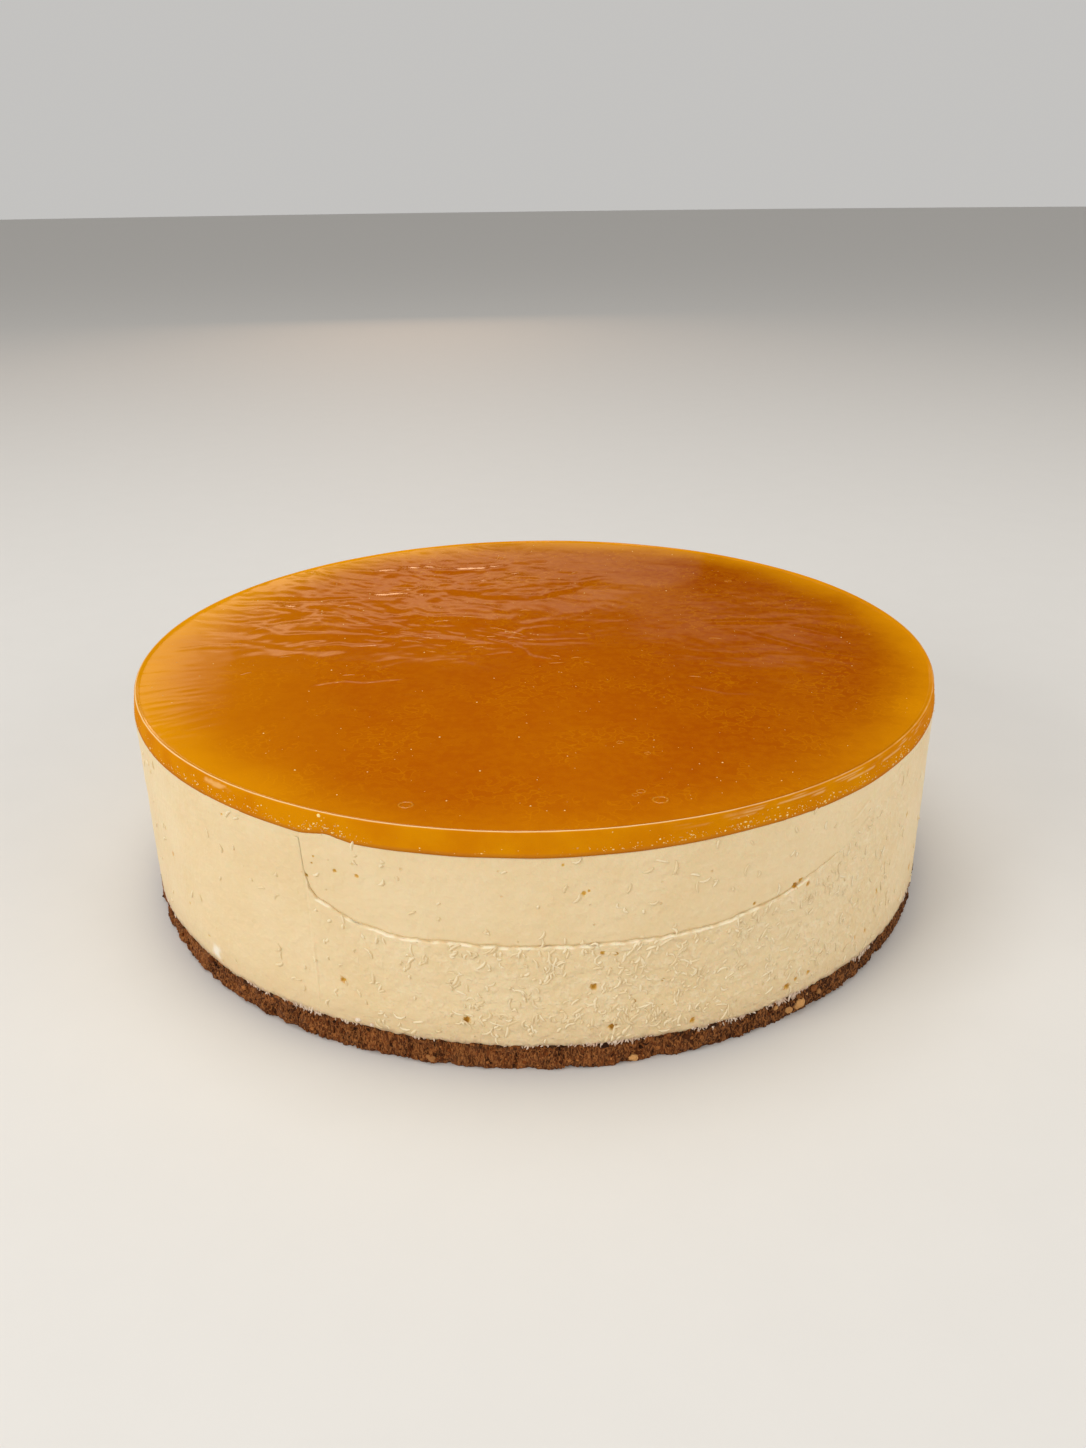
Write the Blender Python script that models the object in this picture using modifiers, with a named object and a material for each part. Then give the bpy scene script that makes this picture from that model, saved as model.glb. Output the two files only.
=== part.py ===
"""A round baked cheesecake in three layers: crumb base, cheese filling and jelly top.

The cake was set in a plain ring, so each layer is turned about +Z and then made uneven. It stands on
Z = 0 with its centre on the origin. Azimuths are counted from the front, which faces -Y, towards +X.
Sizes are in metres.
"""

import math
import random

import bmesh
import bpy
from mathutils import Matrix, Vector, noise

MM = 0.001

# The driving sizes: the ring that the cake was set in, and how far up it each layer reaches.
CAKE_RADIUS = 110 * MM
CAKE_HEIGHT = 60.5 * MM
BASE_THICKNESS = 6.8 * MM
JELLY_THICKNESS = 4.9 * MM
LAYER_GAP = 0.3 * MM
SEGMENTS = 180
BASE_SEGMENTS = 240

# Where one layer meets the next. The line wanders up and down near the rim and is level further in.
LEVEL_INSIDE = CAKE_RADIUS - 16 * MM
HALF_LEVEL = CAKE_RADIUS - 5 * MM
JELLY_BOTTOM = CAKE_HEIGHT - JELLY_THICKNESS
FILLING_BOTTOM = BASE_THICKNESS + LAYER_GAP
FILLING_TOP = JELLY_BOTTOM - LAYER_GAP

# How those lines wander: a slow swing, twice in a turn, and ripples of a depth, a number of waves in a
# turn and a noise seed.
BASE_TOP_SWING = 0.7 * MM
BASE_TOP_RIPPLES = ((0.45 * MM, 14, 3.1), (0.35 * MM, 46, 8.4))
JELLY_BOTTOM_SWING = 0.4 * MM
JELLY_BOTTOM_RIPPLES = ((0.25 * MM, 16, 21.7), (0.15 * MM, 50, 5.2))

# The filling was spooned in as two batches. The first one's edge shows as a ledge with a crease on it.
SEAM_HEIGHT = 33 * MM
SEAM_STEP = 0.45 * MM
SEAM_CREASE = 0.25 * MM
SEAM_HEADROOM = 1.6 * MM
SEAM_FADES_OVER = 6 * MM
SEAM_RIPPLES = ((0.25 * MM, 60, 12.5),)
SIDE_RIPPLE_DEPTH = 0.12 * MM
SIDE_RIPPLE_HEIGHT = 9 * MM

# The ledge runs in shallow bowls. Each has the azimuth of its middle, the height of its floor, then for
# each side how many degrees it takes to climb to the jelly and how sharply it turns upwards.
SEAM_BOWLS = (
    {"azimuth": 9, "floor": SEAM_HEIGHT, "left": 36, "left_power": 14, "right": 40, "right_power": 3.5},
    {"azimuth": 125, "floor": 29 * MM, "left": 62, "left_power": 4, "right": 44, "right_power": 7},
    {"azimuth": 238, "floor": 36 * MM, "left": 55, "left_power": 5, "right": 58, "right_power": 4},
)

# Open bubbles in the filling's side: azimuth in degrees, height, and width across. Round the back they
# are drawn at random.
BUBBLES = (
    (6.5, 22.3 * MM, 1.7 * MM),
    (-8, 13.4 * MM, 1.8 * MM),
    (8.7, 12 * MM, 1.6 * MM),
    (-22.4, 19 * MM, 1.7 * MM),
    (32, 37.2 * MM, 1.8 * MM),
    (50, 28 * MM, 1.3 * MM),
    (60, 42 * MM, 1.6 * MM),
    (46, 18 * MM, 1.4 * MM),
)
BACK_BUBBLES = 12
BACK_BUBBLE_AZIMUTHS = (75, 290)
BACK_BUBBLE_HEIGHTS = (12 * MM, 50 * MM)
BACK_BUBBLE_WIDTHS = (1.2 * MM, 1.9 * MM)

# The crags in the side of the pressed crumb, and the crumbs and the one large chip that stand out.
CRAG_DEPTH = 1.7 * MM
CRAG_SPAN = 5 * MM
CRAG_PROUD = 0.4
CRAG_MEAN = 0.1
CRUMBS = 64
CRUMB_SIZES = (1.1 * MM, 2.6 * MM)
CRUMB_SINKS = 0.5
CHIP_AZIMUTH = 33.5
CHIP_SIZE = (5 * MM, 3 * MM, 2.8 * MM)
KNOCKED_CORNERS = (0.8, 1.1)
SEED = 7

# The lip that the jelly left against the ring, and the waves on its top.
LIP_HEIGHT = 0.35 * MM
LIP_WIDTH = 0.9 * MM
RIM_RIPPLES = ((0.1 * MM, 20, 2.6),)
JELLY_WAVE_DEPTH = 0.22 * MM
JELLY_WAVE_SPAN = 24 * MM

CRUMB_COLOUR = (0.200, 0.068, 0.022)
FILLING_COLOUR = (0.800, 0.600, 0.330)
JELLY_COLOUR = (0.460, 0.110, 0.004)


def blend(value, start, end):
    """0 at start, 1 at end, and a smooth rise between them."""
    share = min(max((value - start) / (end - start), 0), 1)
    return share * share * (3 - 2 * share)


def ripple(azimuth, waves, seed):
    """A smooth value from about -1 to 1 that rises and falls about that many times round the cake."""
    reach = waves / math.tau
    return 1.5 * noise.noise(Vector((reach * math.cos(azimuth), reach * math.sin(azimuth), seed)))


def ripples(azimuth, layers):
    return sum(depth * ripple(azimuth, waves, seed) for depth, waves, seed in layers)


def base_wander(azimuth):
    """How far the top of the crumb base is above or below its mean."""
    return ripples(azimuth, BASE_TOP_RIPPLES) - BASE_TOP_SWING * math.sin(2 * azimuth)


def jelly_wander(azimuth):
    """How far the bottom of the jelly is above or below its mean."""
    return ripples(azimuth, JELLY_BOTTOM_RIPPLES) - JELLY_BOTTOM_SWING * math.cos(2 * azimuth)


def seam_height(azimuth):
    """The height of the ledge in the filling: the lowest bowl there, or just under the jelly if none."""
    found = FILLING_TOP - SEAM_HEADROOM
    for bowl in SEAM_BOWLS:
        turn = (math.degrees(azimuth) - bowl["azimuth"] + 180) % 360 - 180
        side = "left" if turn < 0 else "right"
        climb = abs(turn) / bowl[side]
        if climb < 1:
            rise = (FILLING_TOP - bowl["floor"]) * climb ** bowl[side + "_power"]
            found = min(found, bowl["floor"] + rise)
    return found + ripples(azimuth, SEAM_RIPPLES)


def near_rim(radius):
    """1 at the rim and 0 from LEVEL_INSIDE inwards."""
    return blend(radius, LEVEL_INSIDE, CAKE_RADIUS)


def on_side(azimuth, radius, height):
    return Vector((radius * math.sin(azimuth), -radius * math.cos(azimuth), height))


def material(name, colour, roughness):
    made = bpy.data.materials.new(name)
    made.use_nodes = True
    shader = made.node_tree.nodes["Principled BSDF"]
    shader.inputs["Base Color"].default_value = (*colour, 1)
    shader.inputs["Roughness"].default_value = roughness
    shader.inputs["Metallic"].default_value = 0
    return made


def evaluated_mesh(obj):
    graph = bpy.context.evaluated_depsgraph_get()
    return bpy.data.meshes.new_from_object(obj.evaluated_get(graph))


def turned(name, profile, steps, collection, made_of):
    """An object turned about +Z from (radius, height) pairs, from the axis, down the side and back."""
    outline = bmesh.new()
    points = [outline.verts.new((radius, 0, height)) for radius, height in profile]
    for pair in zip(points, points[1:]):
        outline.edges.new(pair)
    obj = link(name, outline, collection)
    screw = obj.modifiers.new("Screw", "SCREW")
    screw.steps = screw.render_steps = steps
    screw.use_merge_vertices = True
    screw.merge_threshold = 0.01 * MM
    obj.data = evaluated_mesh(obj)
    obj.modifiers.remove(screw)
    obj.data.materials.append(made_of)
    return obj


def mould(obj, move):
    """Moves every point off the axis: move(radius, azimuth, height) gives its new radius and height."""
    for point in obj.data.vertices:
        radius = point.co.xy.length
        if radius < MM:
            continue
        azimuth = math.atan2(point.co.x, -point.co.y)
        point.co = on_side(azimuth, *move(radius, azimuth, point.co.z))


def link(name, shape, collection):
    mesh = bpy.data.meshes.new(name)
    shape.to_mesh(mesh)
    shape.free()
    obj = bpy.data.objects.new(name, mesh)
    collection.objects.link(obj)
    return obj


def shade(obj):
    obj.data.shade_smooth()
    obj.data.set_sharp_from_angle(angle=math.radians(40))


def helper_collection(name):
    made = bpy.data.collections.new(name)
    made.hide_render = True
    bpy.context.scene.collection.children.link(made)
    return made


def apply_boolean(obj, operation, others):
    """Joins or cuts obj with a whole collection, applies the result and removes the collection."""
    modifier = obj.modifiers.new(operation.title(), "BOOLEAN")
    modifier.operation = operation
    modifier.operand_type = "COLLECTION"
    modifier.collection = others
    modifier.solver = "MANIFOLD"
    result = evaluated_mesh(obj)
    obj.modifiers.remove(modifier)
    obj.data = result
    for other in list(others.objects):
        bpy.data.objects.remove(other)
    bpy.data.collections.remove(others)


def lump(name, place, size, azimuth, collection, draw):
    """A crumb or a bubble: a ball of that size with knocked corners, turned to azimuth and put at place."""
    shape = bmesh.new()
    bmesh.ops.create_icosphere(shape, subdivisions=1, radius=0.5)
    for point in shape.verts:
        point.co *= draw.uniform(*KNOCKED_CORNERS)
    turn = Matrix.Rotation(azimuth, 4, "Z")
    where = Matrix.Translation(place) @ turn @ Matrix.Diagonal((*size, 1))
    bmesh.ops.transform(shape, matrix=where, verts=shape.verts)
    obj = link(name, shape, collection)
    obj.display_type = "WIRE"
    obj.hide_render = True


def crag(azimuth, height):
    """How far the crumb's side stands out from the rim, mostly less than nothing."""
    spot = on_side(azimuth, CAKE_RADIUS, height) / CRAG_SPAN
    bumps = noise.noise(spot) + 0.5 * noise.noise(2 * spot)
    return CRAG_DEPTH * (min(bumps, CRAG_PROUD) - CRAG_PROUD - CRAG_MEAN)


def add_crumbs(base):
    draw = random.Random(SEED)
    bits = helper_collection("crumbs")
    for number in range(CRUMBS):
        azimuth = math.tau * (number + draw.random()) / CRUMBS
        size = [draw.uniform(*CRUMB_SIZES) for _ in range(3)]
        lowest = 0.65 * max(size)
        highest = BASE_THICKNESS + base_wander(azimuth) - max(size)
        height = draw.uniform(lowest, highest)
        radius = CAKE_RADIUS + crag(azimuth, height) - CRUMB_SINKS * min(size)
        place = on_side(azimuth, radius, height)
        lump(f"crumb_{number}", place, size, draw.uniform(0, math.tau), bits, draw)
    azimuth = math.radians(CHIP_AZIMUTH)
    height = 0.6 * CHIP_SIZE[2]
    place = on_side(azimuth, CAKE_RADIUS + crag(azimuth, height), height)
    lump("chip", place, CHIP_SIZE, azimuth, bits, draw)
    apply_boolean(base, "UNION", bits)


def crumb_base(collection):
    """Pressed biscuit crumb: a disc with a craggy side, frayed under its edge, with bits standing out."""
    rim = CAKE_RADIUS
    foot = rim - 1.5 * MM
    profile = [
        (0, BASE_THICKNESS),
        (LEVEL_INSIDE, BASE_THICKNESS),
        (HALF_LEVEL, BASE_THICKNESS),
        (rim - 0.4 * MM, BASE_THICKNESS),
        (rim, 4.9 * MM),
        (rim, 2.8 * MM),
        (rim - 0.5 * MM, 0.9 * MM),
        (foot, 0),
        (HALF_LEVEL, 0),
        (0, 0),
    ]
    base = turned(
        "crumb_base", profile, BASE_SEGMENTS, collection, material("biscuit crumb", CRUMB_COLOUR, 0.85)
    )

    def settle(radius, azimuth, height):
        on_the_side = blend(radius, HALF_LEVEL, foot)
        lift = base_wander(azimuth) * near_rim(radius) * height / BASE_THICKNESS
        return radius + on_the_side * crag(azimuth, height), height + lift

    mould(base, settle)
    add_crumbs(base)
    shade(base)


def cut_bubbles(filling):
    draw = random.Random(SEED)
    bubbles = list(BUBBLES)
    first, last = BACK_BUBBLE_AZIMUTHS
    for number in range(BACK_BUBBLES):
        azimuth = first + (last - first) * (number + draw.random()) / BACK_BUBBLES
        bubbles.append((azimuth, draw.uniform(*BACK_BUBBLE_HEIGHTS), draw.uniform(*BACK_BUBBLE_WIDTHS)))
    cutters = helper_collection("bubbles")
    for number, (degrees, height, width) in enumerate(bubbles):
        azimuth = math.radians(degrees)
        size = (width, 1.4 * width, width * draw.uniform(0.8, 1.2))
        lump(f"bubble_{number}", on_side(azimuth, CAKE_RADIUS, height), size, azimuth, cutters, draw)
    apply_boolean(filling, "DIFFERENCE", cutters)


def cheese_filling(collection):
    """The filling: straight sides with the ledge between its two batches, and open bubbles."""
    rim = CAKE_RADIUS
    profile = [
        (0, FILLING_TOP),
        (LEVEL_INSIDE, FILLING_TOP),
        (HALF_LEVEL, FILLING_TOP),
        (rim, FILLING_TOP),
        (rim, SEAM_HEIGHT + 1.2 * MM),
        (rim - SEAM_CREASE, SEAM_HEIGHT),
        (rim + SEAM_STEP, SEAM_HEIGHT - 0.2 * MM),
        (rim + 0.8 * SEAM_STEP, SEAM_HEIGHT - 5 * MM),
        (rim + 0.2 * SEAM_STEP, FILLING_BOTTOM + 8 * MM),
        (rim, FILLING_BOTTOM),
        (HALF_LEVEL, FILLING_BOTTOM),
        (LEVEL_INSIDE, FILLING_BOTTOM),
        (0, FILLING_BOTTOM),
    ]
    filling = turned(
        "cheese_filling", profile, SEGMENTS, collection, material("cheese filling", FILLING_COLOUR, 0.5)
    )

    def settle(radius, azimuth, height):
        low = FILLING_BOTTOM + base_wander(azimuth) * near_rim(radius)
        high = FILLING_TOP + jelly_wander(azimuth) * near_rim(radius)
        if radius < rim - MM:
            return radius, low if height < SEAM_HEIGHT else high
        seam = seam_height(azimuth)
        if height <= SEAM_HEIGHT:
            share = (height - FILLING_BOTTOM) / (SEAM_HEIGHT - FILLING_BOTTOM)
            new_height = low + share * (seam - low)
        else:
            share = (height - SEAM_HEIGHT) / (FILLING_TOP - SEAM_HEIGHT)
            new_height = seam + share * (high - seam)
        step = 1 - blend(seam, FILLING_TOP - SEAM_FADES_OVER, FILLING_TOP - SEAM_HEADROOM)
        uneven = SIDE_RIPPLE_DEPTH * ripple(azimuth, 22, height / SIDE_RIPPLE_HEIGHT)
        return rim + (radius - rim) * step + uneven, new_height

    mould(filling, settle)
    cut_bubbles(filling)
    shade(filling)


def jelly_top(collection):
    """The jelly: a clear sheet with a thin lip round its rim and slow waves across its top."""
    rim = CAKE_RADIUS
    flat = CAKE_HEIGHT - LIP_HEIGHT
    profile = [
        (0, flat),
        (0.4 * rim, flat),
        (0.7 * rim, flat),
        (0.9 * rim, flat),
        (rim - LIP_WIDTH, flat),
        (rim - 0.3 * LIP_WIDTH, CAKE_HEIGHT),
        (rim, flat),
        (rim, JELLY_BOTTOM),
        (HALF_LEVEL, JELLY_BOTTOM),
        (LEVEL_INSIDE, JELLY_BOTTOM),
        (0, JELLY_BOTTOM),
    ]
    jelly = turned(
        "jelly_top", profile, SEGMENTS, collection, material("amber jelly", JELLY_COLOUR, 0.12)
    )

    def settle(radius, azimuth, height):
        if height < JELLY_BOTTOM + MM:
            return radius, height + jelly_wander(azimuth) * near_rim(radius)
        if radius > rim - 2 * LIP_WIDTH:
            return radius + ripples(azimuth, RIM_RIPPLES), height
        wave = noise.noise(on_side(azimuth, radius, 0) / JELLY_WAVE_SPAN)
        return radius, height + JELLY_WAVE_DEPTH * (wave - 0.5)

    mould(jelly, settle)
    shade(jelly)


def main():
    for obj in list(bpy.data.objects):
        bpy.data.objects.remove(obj)
    bpy.context.scene.unit_settings.length_unit = "MILLIMETERS"
    cake = bpy.data.collections.new("baked cheesecake")
    bpy.context.scene.collection.children.link(cake)
    crumb_base(cake)
    cheese_filling(cake)
    jelly_top(cake)


main()
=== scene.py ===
"""Dresses a baked cheesecake: crumb base, two batches of filling and a sheet of amber jelly.

Azimuths are counted from the front of the cake, which faces -Y, towards +X. Sizes are in metres.
"""

import functools
import math
import random

import bmesh
import bpy
from bpy.props import FloatProperty, FloatVectorProperty, IntProperty, PointerProperty
from mathutils import Matrix, Vector, noise


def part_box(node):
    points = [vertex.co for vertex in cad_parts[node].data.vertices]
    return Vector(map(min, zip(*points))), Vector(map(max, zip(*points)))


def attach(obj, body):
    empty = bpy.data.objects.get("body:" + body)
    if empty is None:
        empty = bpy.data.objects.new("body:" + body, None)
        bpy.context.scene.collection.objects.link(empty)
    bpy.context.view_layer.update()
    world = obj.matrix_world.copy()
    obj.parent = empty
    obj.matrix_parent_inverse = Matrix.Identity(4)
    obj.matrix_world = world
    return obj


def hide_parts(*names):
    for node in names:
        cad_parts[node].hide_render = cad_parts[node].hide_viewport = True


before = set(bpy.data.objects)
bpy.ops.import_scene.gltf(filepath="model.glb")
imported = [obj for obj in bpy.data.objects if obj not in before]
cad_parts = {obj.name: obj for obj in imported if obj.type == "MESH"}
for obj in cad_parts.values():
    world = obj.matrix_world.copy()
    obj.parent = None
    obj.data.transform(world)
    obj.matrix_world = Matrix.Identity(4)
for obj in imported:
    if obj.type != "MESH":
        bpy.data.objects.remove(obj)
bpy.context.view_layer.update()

bl_info = {
    "name": "Baked cheesecake",
    "version": (1, 0, 0),
    "blender": (4, 5, 0),
    "location": "3D View > Sidebar > Cheesecake",
    "description": "Makes the crumb base, the filling and the amber jelly of a round cheesecake",
    "category": "Add Mesh",
}

MM = 0.001
WELD = 0.001 * MM

# The sizes that the solids have: the ring that the cake was set in, and where each layer ends.
RIM = 110 * MM
CAKE_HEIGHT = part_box("jelly_top")[1].z
BASE_THICKNESS = 6.8 * MM
JELLY_THICKNESS = 4.9 * MM
LAYER_GAP = 0.3 * MM
JELLY_BOTTOM = CAKE_HEIGHT - JELLY_THICKNESS
FILLING_BOTTOM = BASE_THICKNESS + LAYER_GAP
FILLING_TOP = JELLY_BOTTOM - LAYER_GAP

# Radii inside the layers: within the first the layers are level, beyond the second the filling follows its
# seam, and beyond the third a point lies on the side. LAYER_CORE is where a layer's level faces end.
LEVEL_INSIDE = RIM - 16 * MM
SEAM_BAND = RIM - 7 * MM
SIDE_BAND = RIM - MM
LAYER_CORE = RIM - 6 * MM

# How far the jelly's side leans in towards its top, how round the edge up there is, and how far the side
# hangs over the filling.
JELLY_LEAN = 0.75 * MM
JELLY_ROUNDING = 0.28 * MM
JELLY_OVERLAP = 0.4 * MM

# How the lines between the layers wander: a slow swing, twice in a turn, and ripples of a depth, a number
# of waves in a turn and a noise seed.
BASE_TOP_SWING = 0.7 * MM
BASE_TOP_RIPPLES = ((0.45 * MM, 14, 3.1), (0.35 * MM, 46, 8.4))
JELLY_BOTTOM_SWING = 0.4 * MM
JELLY_BOTTOM_RIPPLES = ((0.25 * MM, 16, 21.7), (0.15 * MM, 50, 5.2))
FILLING_RISE = {"azimuth": -23.5, "half_width": 4.0, "height": 1.0 * MM}

# The ledge between the two batches of filling: it hangs from the jelly in bowls, each given by the azimuths
# in degrees and the heights in millimetres along it. It fades between two heights, and a faint rest of it
# stays where it is steep.
SEAM_HEIGHT = 33 * MM
SEAM_HEADROOM = 1.6 * MM
SEAM_FADES = {"left": (39.5 * MM, 47 * MM), "right": (35.5 * MM, 43.5 * MM)}
SEAM_REST = {"azimuth": -26.9, "reach": 1.2, "full": 0.6, "strength": 0.22}
SEAM_RIPPLES = ((0.26 * MM, 70, 12.5), (0.22 * MM, 230, 3.3), (0.13 * MM, 560, 6.1))
FRONT_BOWL = (
    (-27.2, 56), (-26.95, 46), (-26.5, 41.7), (-25.5, 39.3), (-23.8, 38), (-22, 36.5), (-20.2, 35.1),
    (-17.2, 34.2), (-14.9, 33.4), (-6, 33), (9, 32.7), (18, 33.3), (22, 33.8), (27, 34.9), (30, 36),
    (32, 37.3), (35, 39), (40, 42), (42, 44.2), (45, 46.6), (49, 50.5), (52, 54), (53.5, 56),
)
RIGHT_BOWL = (
    (63, 56), (65, 51), (69, 46), (78, 37.3), (94, 31), (110, 29.4), (125, 29), (142, 29.3), (156, 31.3),
    (162, 37), (167, 47), (169, 56),
)
LEFT_BOWL = (
    (183, 56), (187, 49.4), (194, 42.3), (205, 37.5), (222, 36), (245, 36), (260, 36.6), (273, 38.5),
    (284, 43.9), (292, 50.4), (296, 56),
)

# How finely the wall of the filling is turned, and its steep seam at the front left, where the columns of
# the wall are drawn together.
WALL_STEPS = 160
STEEP_AZIMUTH = math.radians(-26.5)
STEEP_REACH = math.radians(6)
STEEP_SHARE = 0.7

# The crags of the crumb's side, how its foot is drawn in, and how far its top hides in the filling.
CRAG_DEPTH = 1.7 * MM
CRAG_SPAN = 5 * MM
CRAG_PROUD = 0.4
CRAG_MEAN = 0.1
CRAG_SHARE = 0.55
FOOT_INSET = 0.5 * MM
FOOT_HEIGHT = 1.6 * MM
HIDDEN_RISE = 2.5 * MM
HIDDEN_INSET = 1.8 * MM

# The crumb's finer relief: its height, then the spans of the ribs' lean, width and length, grains and grit.
FINE_RELIEF = 0.6 * MM
RIB_LEAN_SPAN = 6 * MM
RIB_WIDTH = 1.15 * MM
RIB_LENGTH = 4.2 * MM
GRAIN_SPAN = 1.5 * MM
GRIT_SPAN = 0.7 * MM

# Chips of biscuit: azimuth, height and size in millimetres, and how pale each is.
CHIPS = (
    (34.3, 3.0, (3.9, 2.4, 2.8), 1.0),
    (32.6, 2.3, (2.4, 1.6, 1.9), 0.85),
    (36.9, 4.9, (2.3, 1.6, 1.9), 0.62),
    (35.4, 4.9, (1.3, 1.0, 1.1), 0.9),
    (30.4, 4.6, (1.4, 1.0, 1.2), 0.9),
    (37.9, 3.0, (1.7, 1.2, 1.4), 0.75),
    (-12.5, 1.7, (2.6, 1.4, 1.7), 0.7),
    (11.3, 1.4, (2.4, 1.5, 1.8), 0.9),
)

# Open bubbles in the side of the filling: azimuth in degrees, then height, width and depth in millimetres.
HOLES = (
    (6.5, 22.3, 1.5, 1.0),
    (-8, 13.4, 1.7, 1.1),
    (8.7, 11.0, 1.6, 1.1),
    (18.4, 9.2, 1.3, 0.7),
    (-22.9, 18.8, 1.4, 0.7),
    (31.6, 37.2, 1.5, 0.9),
    (32.5, 38.0, 1.1, 0.7),
    (33.6, 36.6, 1.1, 0.8),
    (25.8, 36.2, 0.7, 0.4),
    (49.0, 21.8, 1.0, 0.7),
    (53.8, 14.1, 0.9, 0.6),
    (47, 12.3, 0.9, 0.6),
    (44.5, 12.6, 0.6, 0.4),
    (57.1, 36.1, 1.3, 0.9),
    (31.7, 9.9, 1.7, 1.1),
    (33.1, 11.0, 0.9, 0.6),
    (35.2, 11.2, 1.0, 0.6),
    (11.2, 17.2, 0.8, 0.5),
    (14.5, 21.8, 0.7, 0.4),
    (5.3, 45.9, 1.0, 0.35),
    (5.9, 46.4, 0.6, 0.25),
    (-20.0, 47.0, 0.9, 0.4),
    (-22.7, 47.2, 0.8, 0.5),
    (-26.6, 44.3, 0.8, 0.4),
    (-25.7, 47.8, 0.5, 0.3),
    (-25.4, 49.6, 0.5, 0.3),
    (-39.4, 52.3, 0.6, 0.3),
    (3.1, 52.9, 0.6, 0.3),
    (7.4, 30.9, 1.0, 0.4),
    (9.0, 30.4, 0.8, 0.4),
)

# The bubbles beyond the front, drawn at random.
SIDE_HOLES = 46
SIDE_HOLE_AZIMUTHS = (62, 318)
SIDE_HOLE_HEIGHTS = (9 * MM, 53 * MM)
SIDE_HOLE_WIDTHS = (0.5 * MM, 1.7 * MM)

# Marks that the ring and the knife left on the filling: (azimuth, height) along each, then half its width
# and how far it stands out, in millimetres.
SIDE_MARKS = (
    (((7.9, 17.6), (7.7, 14.5), (7.2, 12.5), (7.3, 9.4)), 0.5, -0.28),
    (((7.2, 12.5), (6.4, 10.8), (6.9, 9.0), (8.4, 8.9), (9.4, 10.6)), 0.45, -0.2),
    (((40.2, 47.6), (41.6, 48.2), (43.2, 49.8), (44.6, 51.2)), 0.5, 0.3),
    (((38.9, 48.6), (39.4, 50.0), (39.5, 51.4)), 0.45, 0.22),
    (((41.0, 50.4), (41.6, 51.6), (42.6, 52.4)), 0.4, 0.2),
    (((34.2, 20.4), (35.3, 22.2), (36.0, 24.4), (36.4, 26.0)), 0.6, 0.22),
    (((37.6, 18.0), (38.1, 20.0), (37.8, 22.0)), 0.5, 0.2),
    (((22.5, 24.0), (24.0, 27.0), (25.0, 30.5)), 0.5, 0.16),
    (((-14.9, 33.9), (-16.5, 35.4), (-17.3, 37.0)), 0.35, 0.16),
    (((-42.0, 34.0), (-44.0, 40.0), (-47.0, 46.0)), 0.5, 0.1),
    (((150.0, 18.0), (154.0, 21.0), (158.0, 22.0)), 0.6, 0.22),
    (((205.0, 46.0), (208.0, 49.0), (212.0, 50.0)), 0.6, 0.25),
    (((96.0, 44.0), (98.0, 47.5), (101.0, 49.0)), 0.5, 0.25),
    (((262.0, 14.0), (264.0, 19.0), (269.0, 22.0)), 0.6, 0.2),
)

# Azimuths in degrees: where the first batch is roughest, and where most of its ridges and strands are.
ROUGHEST = 24
MOST_RIDGES = 12
MOST_STRANDS = 24

# A pale smear of cream low on the left of the front: azimuth, height, half its width and half its height.
PALE_PATCH = (-45.0, 10.6 * MM, 2.6 * MM, 2.4 * MM)

# Small nubs of cream that stand out of the wall: azimuth, then height and width in millimetres.
NUBS = (
    (72, 53, 1.1),
    (73.5, 51.8, 0.8),
    (71, 50.4, 0.6),
    (-75, 26, 0.9),
    (-74, 24.4, 0.6),
    (-21.4, 8.9, 1.6),
    (-19.6, 8.4, 1.2),
)

# Creases in the skin of the jelly, each with half its width and its height, all in millimetres.
TOP_CREASES = (
    (((-7.9, 1.8), (-4, -4), (-0.9, -10.2), (5.3, -12.9)), 1.3, 0.17),
    (((-7.9, 1.8), (-5.5, 8.5), (-3.0, 12.9), (2.8, 15.0), (9.5, 13.9)), 1.2, 0.12),
    (((-26.6, 52.3), (-15.8, 46.6), (-2.2, 42.7), (10.4, 50.9), (20.5, 63.3)), 3.9, 0.17),
    (((-88, 24), (-83.4, 18.6), (-73.7, 9.6), (-59.6, 9.7), (-50, 7.5)), 4.2, 0.15),
    (((-56, 28), (-45.4, 24.8), (-36.6, 26.4), (-24, 24)), 3.3, 0.12),
    (((-104.3, -1.7), (-93.4, 2.0), (-84, 1)), 2.7, 0.08),
    (((-34.5, -35.9), (-27.1, -40.0)), 0.9, 0.10),
    (((5, -35.5), (12.7, -33.6)), 0.9, 0.10),
    (((-13, -7.6), (-5, -6.7)), 0.9, 0.10),
    (((-51.8, -0.7), (-44.9, 0.4)), 1.0, 0.12),
    (((-58, -29.7), (-50.7, -27.1), (-45.4, -28.6), (-34, -25.9)), 1.3, 0.14),
    (((-60.3, 25.3), (-74.8, 33.7), (-85.9, 42.4)), 3.9, 0.12),
    (((-44, 78), (-28, 72), (-10, 76), (6, 70)), 4.5, 0.13),
    (((52, 17.6), (61.8, 17.7), (71.8, 17.4), (80, 18.4)), 3.0, 0.09),
    (((60.4, 9.6), (69.9, 0.4), (78.9, -8.4), (92, -16)), 3.0, 0.09),
    (((38, -31.8), (48.9, -39.2), (58, -39.8)), 2.4, 0.06),
    (((46, -7), (55.7, -8.6)), 2.1, 0.06),
    (((74.9, 13.7), (87.8, 4.1)), 2.7, 0.07),
    (((37, -85.6), (43.3, -88.1), (49.7, -88.2)), 1.0, 0.10),
    (((25.4, -69.1), (30.5, -75.9), (36.6, -77.3)), 1.0, 0.07),
)

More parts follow.
